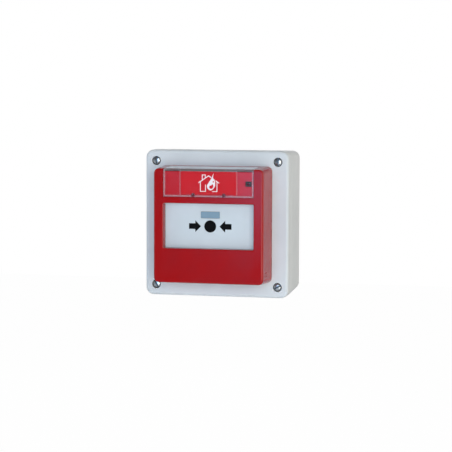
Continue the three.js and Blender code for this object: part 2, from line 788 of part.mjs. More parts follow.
function resetCam() {
  const { depth, radius, arm, armBottom, armTop, nose, pin } = cam;
  const end = trayBottom - 0.2;
  const shaft = barUp(0, depth, radius, end, armTop + 1.1);
  const collar = barUp(0, depth, radius + 1.2, trayBottom + tray.wall + 0.4, trayBottom + tray.wall + 1.4);
  const tip = barUp(0, depth, pin, armTop, armTop + 4.1, 16);
  const beam = block(0, arm, armBottom, armTop, depth + 0.5, depth + radius);
  const push = block(arm - nose, arm, armBottom, armTop, depth + radius - 0.1, paneRear - gap.seat);
  const socket = block(-2.1, 2.1, end - 1, end + 5, depth - 0.7, depth + 0.7);
  return cut(join(shaft, collar, tip, beam, push), socket);
}

// ---------------------------------------------------------------- the front cover

// The outside of the call point: its sides draw in towards the front.
const coverDraft = (geometry) =>
  drafted(geometry, coverRear, coverFace, halfCover, halfCoverHeight, callPoint.draft);

function manifoldDraft(part) {
  const made = solid(part).getMesh();
  const geometry = new THREE.BufferGeometry();
  geometry.setAttribute("position", new THREE.BufferAttribute(made.vertProperties, 3));
  geometry.setIndex(new THREE.BufferAttribute(made.triVerts, 1));
  return solid(coverDraft(geometry));
}

function coverEnvelope() {
  const outline = roundedRect(callPoint.width, callPoint.height, callPoint.corner);
  return manifoldDraft(filletedSlab(outline, coverRear, coverFace, callPoint.fillet));
}

function coverCavity() {
  const { width, height, wall, corner } = callPoint;
  const outline = roundedRect(width - 2 * wall, height - 2 * wall, corner - wall);
  return coverDraft(slab(outline, coverRear - 1, coverFace - wall));
}

// The step in the cover that takes the flap, seen from the side: an L. `grow` makes it larger all round.
function flapPocket(grow, reach) {
  const half = flap.halfWidth + flap.clearance + grow;
  const bottom = flap.bottom - flap.clearance - grow;
  const rear = flapAxisDepth - flap.barrel - 0.45;
  return join(
    block(-half, half, bottom, reach, pocketFloor - grow, coverFace + 2),
    block(-half, half, topFloor - grow, reach, grow > 0 ? coverRear : rear, coverFace + 2),
  );
}

function paneOpening() {
  const { width, height } = pane;
  const through = slab(roundedRect(width, height, 0.8), paneFace - 1, coverFace + 1);
  const bevel = 0.7;
  const mouth = new THREE.ExtrudeGeometry(roundedRect(width, height, 0.8), {
    depth: 1,
    bevelThickness: bevel,
    bevelSize: bevel,
    bevelSegments: 1,
    curveSegments: 3,
  });
  mouth.rotateX(Math.PI / 2).translate(0, -coverFace, 0);
  return join(through, mouth);
}

function frontCover() {
  const reach = halfCoverHeight + 5;
  const envelope = coverEnvelope();
  const shell = cut(envelope, coverCavity());
  const pocketWalls = common(envelope, flapPocket(pocket.wall, reach));
  const ringWall = 1.2;
  const ring = slab(
    roundedRect(pane.width + 2 * ringWall, pane.height + 2 * ringWall, 1),
    paneFace + 0.4,
    coverFace - 1,
  );
  const knuckles = hingeZones.map(({ cover }) => hingeBar(hinge.radius, cover));
  const knuckleRoots = hingeZones.map(({ cover }) =>
    block(hingeX, hingeX + callPoint.wall - hinge.inset, ...cover, coverRear, coverRear + 1),
  );
  const baseKnuckleRoom = hingeZones.flatMap(({ base }) =>
    base.map((zone) => hingeBar(hinge.radius + gap.run, widened(zone, gap.run))),
  );
  const catchRib = block(
    halfCover - callPoint.wall - 0.75,
    halfCover - callPoint.wall + 0.5,
    latch.z - 1.8,
    latch.z + 1.8,
    noseDepth[0] - 2.2,
    noseDepth[0] - 0.6,
  );
  const cardSlot = block(
    -card.halfWidth - 0.2,
    card.halfWidth + 0.2,
    topFloor - pocket.wall - 1,
    topFloor + 0.1,
    pocketFloor - pocket.wall - 2.4,
    pocketFloor - pocket.wall,
  );
  const bezelHole = block(
    led.x - bezel.width / 2 - gap.fit,
    led.x + bezel.width / 2 + gap.fit,
    led.z - bezel.height / 2 - gap.fit,
    led.z + bezel.height / 2 + gap.fit,
    pocketFloor - pocket.wall - 1,
    pocketFloor + 1,
  );
  const trunnions = [-1, 1].map((side) => {
    const span = [side * flap.halfWidth, side * (flap.halfWidth + 2.1)].sort((a, b) => a - b);
    return barAcross(flapAxisZ, flapAxisDepth, 1 + gap.run - 0.05, ...span, 16);
  });
  const keyHoles = [-1, 1].map((side) =>
    barAcross(
      latch.z + (side * latch.keySpacing) / 2,
      keyDepth,
      latch.keyRadius,
      halfCover - 5,
      halfCover + 1,
      12,
    ),
  );
  const keyhole = barUp(0, cam.depth, keyway.radius, -halfCoverHeight - 1, -halfCoverHeight + 4, 24);
  return cut(
    join(cut(join(shell, pocketWalls, ring, catchRib), ...baseKnuckleRoom), ...knuckleRoots, ...knuckles),
    flapPocket(0, reach),
    paneOpening(),
    cardSlot,
    bezelHole,
    ...trunnions,
    ...keyHoles,
    keyhole,
    ...hingeHoles(),
  );
}

// The clear flap: a front plate and a top plate that follow the outside of the cover, on two trunnions.
function flapSolid() {
  const reach = halfCoverHeight + 5;
  const { halfWidth, bottom, barrel } = flap;
  const under = topFloor + 0.55;
  const plates = join(
    block(-halfWidth, halfWidth, bottom, reach, flapRear, coverFace + 2),
    block(-halfWidth, halfWidth, under, reach, flapAxisDepth, coverFace + 2),
  );
  const skin = common(coverEnvelope(), plates);
  const back = barAcross(flapAxisZ, flapAxisDepth, barrel, -halfWidth, halfWidth);
  const trunnions = barAcross(flapAxisZ, flapAxisDepth, 1, -halfWidth - 1.75, halfWidth + 1.75, 16);
  const studs = [-1, 1].map((side) =>
    barForward(side * stud.x, bottom + stud.rise, stud.radius, cardFace + stud.clearance, flapRear + 0.2),
  );
  return join(skin, back, trunnions, ...studs);
}

function symbolCard() {
  const top = topFloor + 0.35;
  return block(-card.halfWidth, card.halfWidth, card.bottom, top, cardFace - card.thickness, cardFace);
}

function ledBezel() {
  const { width, height, flange: edge } = bezel;
  const back = pocketFloor - pocket.wall - gap.fit;
  const front = pocketFloor + 0.3;
  const body = join(
    block(led.x - width / 2, led.x + width / 2, led.z - height / 2, led.z + height / 2, back - 0.5, front),
    block(
      led.x - width / 2 - edge,
      led.x + width / 2 + edge,
      led.z - height / 2 - edge,
      led.z + height / 2 + edge,
      back - 1,
      back,
    ),
  );
  return cut(body, barForward(led.x, led.z, 1.2, back - 3, front + 1, 16));
}

function lightPipe() {
  const from = boardFace + led.height + 0.6 + 0.4;
  const collar = pocketFloor - pocket.wall - gap.fit - 1 - gap.fit;
  return join(
    barForward(led.x, led.z, 1, from, pocketFloor + 0.1, 16),
    barForward(led.x, led.z, 1.7, collar - 0.8, collar, 16),
  );
}

// ---------------------------------------------------------------- the cover's latch

const springBore = { radius: 2, depth: 3.8, ahead: 1.5 };

function coverLatch() {
  const pad = trayHalf - tray.wall + 0.3;
  const [noseRear, noseFront] = noseDepth;
  const body = block(latchNear, latchFar - 0.6, latchBottom, latchTop, noseRear - 2.5, trayFront + 0.4);
  const push = block(pad - 2.4, pad, latchBottom, latchTop, trayFront + 0.3, keyDepth + 1.6);
  const nose = block(latchFar - 1, trayHalf, latch.z - 1.8, latch.z + 1.8, noseRear, noseFront);
  const bore = barAcross(
    latch.z,
    noseFront + springBore.ahead - 1,
    springBore.radius,
    latchNear - 1,
    latchNear + springBore.depth,
    16,
  );
  return cut(join(body, push, nose), bore);
}

function latchSpring() {
  const length = latchNear + springBore.depth - latchStop - 0.2;
  const geometry = coil(springBore.radius - 0.6, 0.25, 4, length);
  return geometry.translate(latchStop + 0.1, -(noseDepth[1] + springBore.ahead - 1), latch.z);
}

// ---------------------------------------------------------------- assembly

const at = (mesh, x, y, z) => mesh.position.set(x, y, z);

add("box_base", boxBase(), finishes.greyPlastic);
add("box_lid", boxLid(), finishes.greyPlastic);
add("lid_gasket", lidGasketRing(), finishes.foam);

corners.forEach(([sx, sz], i) => {
  const n = i + 1;
  at(add(`lid_screw_${n}`, lidScrewSolid(lidScrew.turns[i]), finishes.steel), sx * screwX, 0, sz * screwZ);
  at(add(`screw_seal_${n}`, screwSealRing(), finishes.rubber), sx * screwX, 0, sz * screwZ);
  at(add(`threaded_insert_${n}`, threadedInsert(), finishes.brass), sx * screwX, 0, sz * screwZ);
});

[
  [-1, "left"],
  [1, "right"],
].forEach(([side, word]) => {
  const mesh = add(`cable_grommet_${word}`, cableGrommet(), finishes.rubber);
  mesh.applyMatrix4(entryFrame(side));
});

add("mounting_base", mountingBase(), finishes.redPlastic);
add("mounting_gasket", mountingGasket(), finishes.foam);
baseScrewPlaces().forEach(([x, z], i) => {
  const { headRadius, headHeight, radius, length } = baseScrew;
  const screw = panScrew(headRadius, headHeight, radius, trayFloor, length);
  at(add(`base_screw_${i + 1}`, screw, finishes.steel), x, 0, z);
});

add("circuit_board", circuitBoard(), finishes.board);
[boardPosts()[0], boardPosts()[3]].forEach(([x, z], i) => {
  at(add(`board_screw_${i + 1}`, panScrew(1.9, 1.2, 0.8, boardFace, 3.2), finishes.steel), x, 0, z);
});
add("terminal_block_left", terminalBlock(-1), finishes.terminalPlastic);
add("terminal_block_right", terminalBlock(1), finishes.terminalPlastic);
dial.xs.forEach((x, i) => {
  add(`address_switch_${i + 1}`, addressSwitch(x), finishes.darkPlastic);
  at(add(`address_dial_${i + 1}`, addressDial(), finishes.whitePlastic), x, 0, dial.z);
});
add("status_led", statusLed(), finishes.clearPlastic);

add("mechanism_frame", mechanismFrame(), finishes.darkPlastic);
framePosts.forEach(([x, z], i) => {
  at(add(`frame_screw_${i + 1}`, panScrew(2.1, 1.4, 0.95, frameFace, 5), finishes.steel), x, 0, z);
});
add("operating_pane", operatingPane(), finishes.whitePlastic);
add("pane_window", paneWindowPlug(), finishes.windowPlastic);
add("indicator_flag", indicatorFlag(), finishes.yellowPlastic);
at(add("pane_spring_left", paneSpring(), finishes.steel), -pane.guideX, 0, 0);
at(add("pane_spring_right", paneSpring(), finishes.steel), pane.guideX, 0, 0);
add("micro_switch", microSwitch(), finishes.darkPlastic);
add("switch_lever", switchLever(), finishes.steel);
add("switch_plunger", switchPlunger(), finishes.redPlastic);
add("reset_cam", resetCam(), finishes.darkPlastic);

add("front_cover", frontCover(), finishes.redPlastic);
["upper", "lower"].forEach((word, i) => {
  const { base } = hingeZones[i];
  add(`hinge_pin_${word}`, hingeBar(hinge.pin, [base[0][0] + 0.2, base[1][1] - 0.2], 12), finishes.steel);
});
add("flap", flapSolid(), finishes.clearPlastic);
add("symbol_card", symbolCard(), finishes.card);
add("led_bezel", ledBezel(), finishes.darkPlastic);
add("light_pipe", lightPipe(), finishes.clearPlastic);
add("cover_latch", coverLatch(), finishes.darkPlastic);
add("latch_spring", latchSpring(), finishes.steel);

export default callPointGroup;
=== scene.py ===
# %% [markdown]
# # A manual call point in a weatherproof box
#
# The object is a red fire alarm call point screwed to a pale grey box. The red cover holds a clear
# flap over a red symbol card, and a white pane in a recess. Pressing the pane lets a yellow flag
# fall behind its window. The cover hinges on its left side, so the inside is worth looking at too.
#
# The mechanical model comes first, as a fixed frame. Everything made here is in the same place and
# the same size, in metres, with the wall at y = 0, the front towards -Y and up along +Z.

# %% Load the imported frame
import math

import bmesh
import bpy
import numpy as np
from mathutils import Matrix, Vector


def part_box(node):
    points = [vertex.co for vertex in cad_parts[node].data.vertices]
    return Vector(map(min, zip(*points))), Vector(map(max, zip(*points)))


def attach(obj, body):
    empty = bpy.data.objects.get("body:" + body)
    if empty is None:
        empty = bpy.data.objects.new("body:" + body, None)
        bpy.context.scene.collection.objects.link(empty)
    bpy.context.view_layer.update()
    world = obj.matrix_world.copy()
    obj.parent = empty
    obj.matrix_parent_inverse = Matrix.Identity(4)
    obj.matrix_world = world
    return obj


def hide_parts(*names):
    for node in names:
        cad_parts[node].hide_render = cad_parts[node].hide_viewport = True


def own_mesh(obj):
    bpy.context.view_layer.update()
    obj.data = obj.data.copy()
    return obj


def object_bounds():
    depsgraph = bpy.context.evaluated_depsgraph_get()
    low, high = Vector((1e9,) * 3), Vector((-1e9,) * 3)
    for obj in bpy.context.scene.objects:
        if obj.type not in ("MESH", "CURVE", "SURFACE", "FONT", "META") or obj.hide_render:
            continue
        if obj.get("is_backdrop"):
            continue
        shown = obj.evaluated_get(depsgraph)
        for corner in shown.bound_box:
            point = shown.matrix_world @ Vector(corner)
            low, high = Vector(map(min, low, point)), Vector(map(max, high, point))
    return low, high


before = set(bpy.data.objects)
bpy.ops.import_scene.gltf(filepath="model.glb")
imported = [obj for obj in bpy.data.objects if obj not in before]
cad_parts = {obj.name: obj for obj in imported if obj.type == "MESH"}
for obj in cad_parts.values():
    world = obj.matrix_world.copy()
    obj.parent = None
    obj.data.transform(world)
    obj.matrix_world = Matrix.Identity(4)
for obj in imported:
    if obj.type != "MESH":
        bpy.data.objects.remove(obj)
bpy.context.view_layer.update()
print("nodes in the frame:", len(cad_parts))

# %% [markdown]
# ## Millimetres and depths
#
# A moulding like this is drawn in millimetres, and every face is a number of millimetres in front
# of the wall. So the shapes below are written as (x, depth, z) in millimetres, where depth is the
# distance from the wall, and one function turns them into Blender's metres. The main planes are
# read from the frame, so the pieces fit it whatever its sizes are.


# %% Sizes read from the frame
def span(node):
    """Lowest and highest corner of a frame node as (x, depth, z) in millimetres: depth is -y."""
    low, high = (np.array(corner) * 1000 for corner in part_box(node))
    return (low[0], -high[1], low[2]), (high[0], -low[1], high[2])


half_box, lid_face = span("box_lid")[1][:2]
box_rim = span("box_base")[1][1]
half_width, cover_face, half_height = span("front_cover")[1]
cover_rear = lid_face + 2.4
pane_face = span("operating_pane")[1][1]
card_low, card_high = span("symbol_card")
card_face = card_high[1]
pocket_floor = card_face - 0.65
head_seat = lid_face - 3.6
print(f"box {2 * half_box:.1f} mm, lid at {lid_face:.1f}, cover at {cover_face:.1f}, pane at {pane_face:.1f}")

# %% [markdown]
# ## Loops laid one in front of the other
#
# A moulding comes out of a mould that opens forwards, so nearly every outline on this object is a
# flat loop that changes a little with depth. A loft of loops gives exactly that: the draft of a
# side is a loop that shrinks, and a rounded edge is a few loops that step in along a quarter circle.
# The points are a grid of levels by points round the loop, so numpy makes them all at once.


# %% Loops and lofts
def rounded_loop(width, height, radius, centre=(0.0, 0.0), steps=8):
    """A rectangle with round corners as points (x, z), anticlockwise from the front. Each corner is
    its centre plus the radius times the cosine and sine of an angle that turns through a quarter."""
    turn = np.arange(4)[:, None] * np.pi / 2 + np.linspace(0, np.pi / 2, steps + 1)
    corner = np.array([[1, 1], [-1, 1], [-1, -1], [1, -1]]) * [width / 2 - radius, height / 2 - radius]
    x = corner[:, :1] + radius * np.cos(turn) + centre[0]
    z = corner[:, 1:] + radius * np.sin(turn) + centre[1]
    return np.stack([x, z], -1).reshape(-1, 2)


def ring_grid(rows, columns):
    """The quads of a grid whose columns close into a ring: a point, the next on its ring, and the
    two above them."""
    index = np.arange(rows * columns).reshape(rows, columns)
    near, far = index[:-1], index[1:]
    return np.stack([near, np.roll(near, -1, 1), np.roll(far, -1, 1), far], -1).reshape(-1, 4)


def capped(rows, columns):
    """A ring grid with one face over each end."""
    last = (rows - 1) * columns
    return [*ring_grid(rows, columns).tolist(), list(range(columns))[::-1], list(range(last, last + columns))]


def lofted(loops, depths):
    """Loops (x, z) placed at their depths and joined to a closed solid."""
    loops = np.asarray(loops, float)
    levels, count = loops.shape[:2]
    depth = np.broadcast_to(np.asarray(depths, float)[:, None], (levels, count))
    return np.stack([loops[..., 0], depth, loops[..., 1]], -1).reshape(-1, 3), capped(levels, count)


def slab(loop, rear, front):
    """One loop carried straight forwards."""
    return lofted([loop, loop], [rear, front])


def block(x0, x1, z0, z1, rear, front):
    """A box between two x, two z and two depths."""
    return slab(np.array([[x1, z1], [x0, z1], [x0, z0], [x1, z0]]), rear, front)


def round_fronted(loop_at, rears, front, radius, steps=6):
    """A loft whose front edge is a quarter circle: at angle t the loop steps in by radius * (1 - cos t)
    and lies radius * (1 - sin t) behind the front. loop_at(depth, step) gives the loop."""
    t = np.linspace(0, np.pi / 2, steps + 1)
    depths = np.append(rears, front - radius + radius * np.sin(t))
    insets = np.append(np.zeros(len(rears)), radius * (1 - np.cos(t)))
    return lofted([loop_at(d, i) for d, i in zip(depths, insets)], depths)


print("a rounded loop has", len(rounded_loop(10, 10, 2)), "points")

# %% [markdown]
# ## Round pieces
#
# Screws, bars, pins and rings are turned on a lathe, or moulded round an axis. A profile of
# distance along the axis and radius, carried round that axis, gives them all. A profile point on
# the axis makes a pole, whose doubled points are merged when the mesh is made.


# %% Turned shapes and shapes carried across
def turned(profile, axis="forward", centre=(0.0, 0.0), sides=24):
    """A profile of (distance along the axis, radius) carried round the axis: each ring is the centre
    plus the radius times cosine and sine. The centre is (x, z) forwards, (x, depth) up, and
    (depth, z) across."""
    along, radius = np.asarray(profile, float).T[:, :, None]
    turn = np.linspace(0, 2 * np.pi, sides, endpoint=False)
    u, v = radius * np.cos(turn), radius * np.sin(turn)
    along = np.broadcast_to(along, u.shape)
    order = {
        "forward": (centre[0] + u, along, centre[1] + v),
        "up": (centre[0] + u, centre[1] - v, along),
        "across": (along, centre[0] - u, centre[1] + v),
    }[axis]
    rows = len(profile)
    faces = ring_grid(rows, sides).tolist()
    flat = [row for row in (0, rows - 1) if profile[row][1] > 1e-6]
    faces += [list(range(row * sides, (row + 1) * sides))[:: -1 if row == 0 else 1] for row in flat]
    return np.stack(order, -1).reshape(-1, 3), faces


def bar(axis, centre, radius, start, end, sides=24):
    """A plain round bar."""
    return turned([(start, radius), (end, radius)], axis, centre, sides)


def bars(centres, radius, rear, front, sides=24):
    """The same bar, pointing forwards, at each centre."""
    return [bar("forward", centre, radius, rear, front, sides) for centre in centres]


def carried_across(profile, x0, x1):
    """A closed outline of (depth, z) carried along x."""
    count = len(profile)
    points = np.column_stack([np.repeat([x0, x1], count), np.tile(np.asarray(profile, float), (2, 1))])
    return points, capped(2, count)


print("a bar has", len(bar("up", (0, 0), 1, 0, 5)[0]), "points")

# %% [markdown]
# ## From numbers to mesh objects
#
# A shape becomes an object whose origin is the origin of the scene, so its place is in its mesh.
# Where holes and ribs meet a moulding, Boolean modifiers join and cut closed solids, as a
# toolmaker does with blocks of steel, and the result is applied. Its rounded edges are drawn in the
# shapes, and the shading is smooth up to the angles that are real edges.

# %% Making, joining and cutting solids
JOIN, CUT, KEEP = "UNION", "DIFFERENCE", "INTERSECT"


def linked(name, mesh, doubles, outward=False):
    """Merges a mesh's doubles, may turn its faces outward, and puts it in the scene as an object."""
    made = bmesh.new()
    made.from_mesh(mesh)
    bmesh.ops.remove_doubles(made, verts=made.verts, dist=doubles)
    if outward:
        bmesh.ops.recalc_face_normals(made, faces=made.faces)
    made.to_mesh(mesh)
    made.free()
    piece = bpy.data.objects.new(name, mesh)
    bpy.context.scene.collection.objects.link(piece)
    return piece


def solid(name, shape):
    """A mesh object from (points in millimetres, faces)."""
    points, faces = shape
    mesh = bpy.data.meshes.new(name)
    mesh.from_pydata((points * [0.001, -0.001, 0.001]).tolist(), [], faces)
    return linked(name, mesh, 1e-7, outward=True)


def carve(name, start, *steps):
    """Starts from a shape and works through steps such as (JOIN, shape, ...) in order. A shape is
    points and faces, or an object made before, which is used up."""
    piece = solid(name, start)
    tools = []
    for operation, *shapes in steps:
        for shape in shapes:
            tools.append(shape if isinstance(shape, bpy.types.Object) else solid("tool", shape))
            modifier = piece.modifiers.new("step", "BOOLEAN")
            modifier.operation, modifier.solver, modifier.object = operation, "MANIFOLD", tools[-1]
    evaluated = piece.evaluated_get(bpy.context.evaluated_depsgraph_get())
    mesh = bpy.data.meshes.new_from_object(evaluated)
    for used in [*tools, piece]:
        bpy.data.objects.remove(used)
    mesh.name = name
    return linked(name, mesh, 2e-6)


def fine_edge(piece, width):
    """A bevel of so many millimetres on edges sharper than 40 degrees."""
    edge = piece.modifiers.new("fine edge", "BEVEL")
    edge.width, edge.segments, edge.limit_method = width * 0.001, 2, "ANGLE"
    edge.angle_limit = math.radians(40)
    return edge


def settle(piece, body, slot, material, *nodes, width=0.0):
    """Smooths a finished piece up to its real edges and hands it to its finish, its body and the
    nodes it stands for; the slot is not used. A simple piece may have its edges rounded by a bevel
    of that many millimetres. A carved face with holes in it would fold over itself, so it has none."""
    piece.data.polygons.foreach_set("use_smooth", np.ones(len(piece.data.polygons), bool))
    if not width:
        piece.data.set_sharp_from_angle(angle=math.radians(40))
    else:
        fine_edge(piece, width).use_clamp_overlap = False
    piece.modifiers.new("even light", "WEIGHTED_NORMAL").keep_sharp = True
    piece.data.materials.clear()
    piece.data.materials.append(material)
    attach(piece, body)
    if nodes:
        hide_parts(*nodes)
    print(f"{piece.name}: {len(piece.data.vertices)} points on {body}")


print("steps:", JOIN, CUT, KEEP)

# %% [markdown]
# ## How a finish is put together
#
# A material here is a small graph: a pattern read at Object coordinates, which are metres on the
# finished object, then colour, roughness and bump worked out from it. A few short helpers keep
# each recipe readable. Each finds its tree from a socket it is given. A scale of 1000 makes a
# pattern about a millimetre wide, and colours are written as 0 to 255 on screen.


# %% Small tools for node graphs
def srgb(red, green, blue):
    """A colour given as 0 to 255 on screen, as the linear values that shaders use."""
    c = np.array([red, green, blue]) / 255
    return (*np.where(c < 0.04045, c / 12.92, ((c + 0.055) / 1.055) ** 2.4), 1.0)


def feed(node, inputs):
    """Fills a node's sockets from (name, value or socket) pairs."""
    for key, value in dict(inputs).items():
        if isinstance(value, bpy.types.NodeSocket):
            node.id_data.links.new(value, node.inputs[key])
        else:
            node.inputs[key].default_value = value


def put(near, kind, inputs=(), **settings):
    """Adds a node to the tree that near is in, sets its properties, and feeds it."""
    node = near.id_data.nodes.new("ShaderNode" + kind)
    for key, value in settings.items():
        setattr(node, key, value)
    feed(node, inputs)
    return node


def wire(shader, **sources):
    """Feeds the shader."""
    feed(shader, {key.replace("_", " "): value for key, value in sources.items()})


def begin(name):
    """A new material: returns it, its shader and the Object coordinates."""
    material = bpy.data.materials.new(name)
    material.use_nodes = True
    shader = material.node_tree.nodes["Principled BSDF"]
    return material, shader, put(shader, "TexCoord").outputs["Object"]


def stretched(where, turn, scale):
    """The coordinates turned and stretched, which draws a pattern out into streaks."""
    return put(where, "Mapping", {"Vector": where, "Rotation": turn, "Scale": scale}).outputs[0]


def noise(where, scale, detail=2.0, roughness=0.5):
    """Cloudy noise from 0 to 1."""
    inputs = {"Vector": where, "Scale": scale, "Detail": detail, "Roughness": roughness}
    return put(where, "TexNoise", inputs).outputs[0]


def spread(value, low, high, start=0.3, end=0.7):
    """Stretches start..end of a value to low..high, and holds it there."""
    inputs = {"Value": value, "From Min": start, "From Max": end, "To Min": low, "To Max": high}
    return put(value, "MapRange", inputs).outputs[0]


def between(share, first, second):
    """A colour between two, by a share from 0 to 1."""
    first, second = (srgb(*c) if isinstance(c, tuple) else c for c in (first, second))
    return put(share, "Mix", {0: share, 6: first, 7: second}, data_type="RGBA").outputs[2]


def maths(operation, first, *others):
    """Arithmetic from the first value to the last, numbers or sockets."""
    for other in others or (0.0,):
        near = first if isinstance(first, bpy.types.NodeSocket) else other
        first = put(near, "Math", {0: first, 1: other}, operation=operation).outputs[0]
    return first


def times(*values):
    """The product of values."""
    return maths("MULTIPLY", *values)


def most(*values):
    """The largest of values."""
    return maths("MAXIMUM", *values)


def relief(height, distance, strength):
    """A bump from a height of 0 to 1 over a distance in millimetres."""
    inputs = {"Height": height, "Distance": distance * 0.001, "Strength": strength}
    return put(height, "Bump", inputs).outputs[0]


print("white on screen is", srgb(255, 255, 255)[0])

# %% [markdown]
# ## Moulded plastic
#
# Nearly every piece is injection moulded. The mould is spark eroded or polished, which leaves a
# fine even grain, and the melt leaves slow, faint changes of tone and gloss. Handling adds a few
# hairline scuffs. One recipe with different numbers makes each plastic, as one machine does.


# %% The plastics
def moulded(name, colour, tone, roughness, grain, grain_height, scuffs=0.03, specular=0.5):
    """Colour drifts to tone with a slow cloud, the grain gives the bump, scuffs lift the roughness."""
    material, shader, where = begin(name)
    slow = noise(where, 45, 3.0, 0.55)
    fine = noise(where, grain, 2.0, 0.6)
    hair = noise(stretched(where, (0.2, 0.5, 0.4), (1, 1, 9)), grain * 0.16, 3.0, 0.7)
    scuffed = spread(hair, 0.0, 1.0, 0.62, 0.74)
    base = between(spread(slow, 0.0, 1.0), colour, tone)
    base = between(times(scuffed, scuffs), base, (236, 236, 236))
    gloss = maths("ADD", spread(slow, roughness - 0.03, roughness + 0.04), times(scuffed, 0.12))
    wire(shader, Base_Color=base, Roughness=gloss, Normal=relief(fine, grain_height, 0.6))
    wire(shader, Specular_IOR_Level=specular)
    return material


grey_plastic = moulded("pale grey box plastic", (208, 211, 215), (202, 206, 210), 0.5, 3800, 0.03, 0.1, 0.3)
red_plastic = moulded("signal red plastic", (159, 8, 13), (151, 6, 11), 0.16, 3200, 0.01, 0.004, 0.28)
white_plastic = moulded("white pane plastic", (199, 206, 212), (194, 201, 207), 0.45, 2600, 0.01)
black_plastic = moulded("black mechanism plastic", (38, 40, 43), (31, 33, 36), 0.45, 2400, 0.03)
yellow_plastic = moulded("yellow flag plastic", (236, 196, 30), (228, 186, 24), 0.42, 2400, 0.02)
green_plastic = moulded("green terminal plastic", (60, 128, 82), (54, 120, 74), 0.45, 2600, 0.02)
cream_plastic = moulded("cream dial plastic", (226, 226, 218), (220, 219, 210), 0.42, 2600, 0.02)
print("plastics made:", len(bpy.data.materials))

# %% [markdown]
# ## Clear plastic, window and print
#
# The flap is clear acrylic, thin and flat. Full refraction would cost many rays and leave the card
# in shadow, so the plate is mostly transparent, and Fresnel makes it milky where it is seen
# edge-on: its pale colour there is a painted reflection of the surround. The pane's window is a
# smoked blue insert. The print on card and pane is a thin raised film with a soft gloss, and the
# floor of the flap's pocket is painted a brighter red, a painted sheen of the clear flap over it.


# %% Clear and printed finishes
def clear(name, colour, roughness, body, edge):
    """Mostly transparent: the alpha rises from body to edge as the view becomes grazing."""
    material, shader, where = begin(name)
    facing = put(where, "LayerWeight", {"Blend": 0.35}).outputs["Facing"]
    haze = noise(where, 130, 4.0, 0.6)
    # painted reflection: at grazing views the alpha rises and the pale colour stands in for the surround
    # mirrored in the plate
    alpha = maths("ADD", spread(facing, body, edge, 0.25, 0.95), spread(haze, 0.0, 0.006))
    streaks = noise(stretched(where, (0, 0.6, 0), (1, 1, 14)), 300, 3.0)
    wire(shader, Base_Color=srgb(*colour), Roughness=spread(streaks, roughness, roughness + 0.1))
    wire(shader, Alpha=alpha, Normal=relief(haze, 0.02, 0.3))
    return material, shader, where, alpha


def inside_band(value, low, high, soft=0.15):
    """1 where a coordinate in metres is between two millimetre values, 0 outside, soft between."""
    centre, half = (low + high) / 2, (high - low) / 2
    away = maths("ABSOLUTE", maths("SUBTRACT", value, centre / 1000))
    return spread(away, 1.0, 0.0, (half - soft) / 1000, (half + soft) / 1000)


def flap_plastic(card_half, flap_half, slot, foot_x, foot_z):
    """The clear flap: a painted reflection makes its top plate milky, painted shade darkens the slot
    over the card where the thick edge hides the light, painted shade rings the two feet, and a
    painted highlight lies along its cut edges."""
    material, shader, where, alpha = clear("clear flap acrylic", (226, 228, 236), 0.06, 0.0, 0.93)
    x, y, z = put(where, "SeparateXYZ", {0: where}).outputs
    mirror_x = maths("ABSOLUTE", x)
    front_face = maths("LESS_THAN", y, -(cover_face - 1.7) / 1000)
    # painted reflection: the top plate is made more opaque, so its pale colour stands in for the grazing
    # reflection on it
    top_plate_reflection = times(maths("SUBTRACT", 1.0, front_face), 0.27)
    # painted highlight: a pink band along the side edges, the lower edge and over the card's edges
    side_highlight = spread(mirror_x, 0.0, 0.22, (flap_half - 0.1) / 1000, (flap_half + 0.5) / 1000)
    lower_highlight = spread(z, 0.22, 0.0, (foot_z - 0.6) / 1000, (foot_z + 0.1) / 1000)
    card_edge_highlight = times(inside_band(mirror_x, card_half - 0.3, card_half + 0.3), front_face, 0.12)
    rim = most(times(most(side_highlight, lower_highlight), front_face), card_edge_highlight)
    # painted shade: a dark band in the slot over the card, where the thick edge hides the light
    line = times(inside_band(x, -card_half, card_half), inside_band(z, *slot), front_face, 0.9)
    # painted shade: a dark purple ring round each of the two feet
    place = put(where, "CombineXYZ", {0: mirror_x, 2: z}).outputs[0]
    middle = (foot_x / 1000, 0, foot_z / 1000)
    distance = put(where, "VectorMath", {0: place, 1: middle}, operation="DISTANCE").outputs["Value"]
    foot_shade = spread(distance, 0.5, 0.0, 0.0013, 0.0016)
    colour = between(times(rim, 2.5), (226, 228, 236), (214, 150, 164))
    colour = between(times(foot_shade, 2.0), colour, (92, 34, 52))
    colour = between(line, colour, (70, 56, 46))
    wire(shader, Base_Color=colour, Alpha=most(maths("ADD", alpha, top_plate_reflection), line, foot_shade, rim))
    return material


def paint_pocket_sheen(material, colour, half, low, high):
    """Painted sheen on the floor of the flap's pocket: a brighter colour inside a band of x, of z
    and of depth, where the clear flap lies over it.
    """
    shader = material.node_tree.nodes["Principled BSDF"]
    x, y, z = put(shader, "SeparateXYZ", {0: put(shader, "TexCoord").outputs["Object"]}).outputs
    on_floor = inside_band(y, -pocket_floor - 0.3, -pocket_floor + 0.3, 0.05)
    # painted sheen: the pocket floor under the clear flap is made a brighter red
    pocket_sheen = times(inside_band(x, -half, half), on_floor, inside_band(z, low, high))
    plain = shader.inputs["Base Color"].links[0].from_socket
    wire(shader, Base_Color=between(pocket_sheen, plain, colour))


def printed(name, colour, tone, roughness, specular=0.5):
    """A film of ink: an even colour with tiny specks where it is thin, and a slight orange peel."""
    material, shader, where = begin(name)
    speck = spread(noise(where, 5200, 2.0, 0.7), 0.0, 1.0, 0.55, 0.8)
    peel = noise(where, 1400)
    gloss = spread(peel, roughness - 0.05, roughness + 0.05)
    wire(shader, Base_Color=between(speck, colour, tone), Roughness=gloss)
    wire(shader, Normal=relief(peel, 0.01, 0.5), Specular_IOR_Level=specular)
    return material


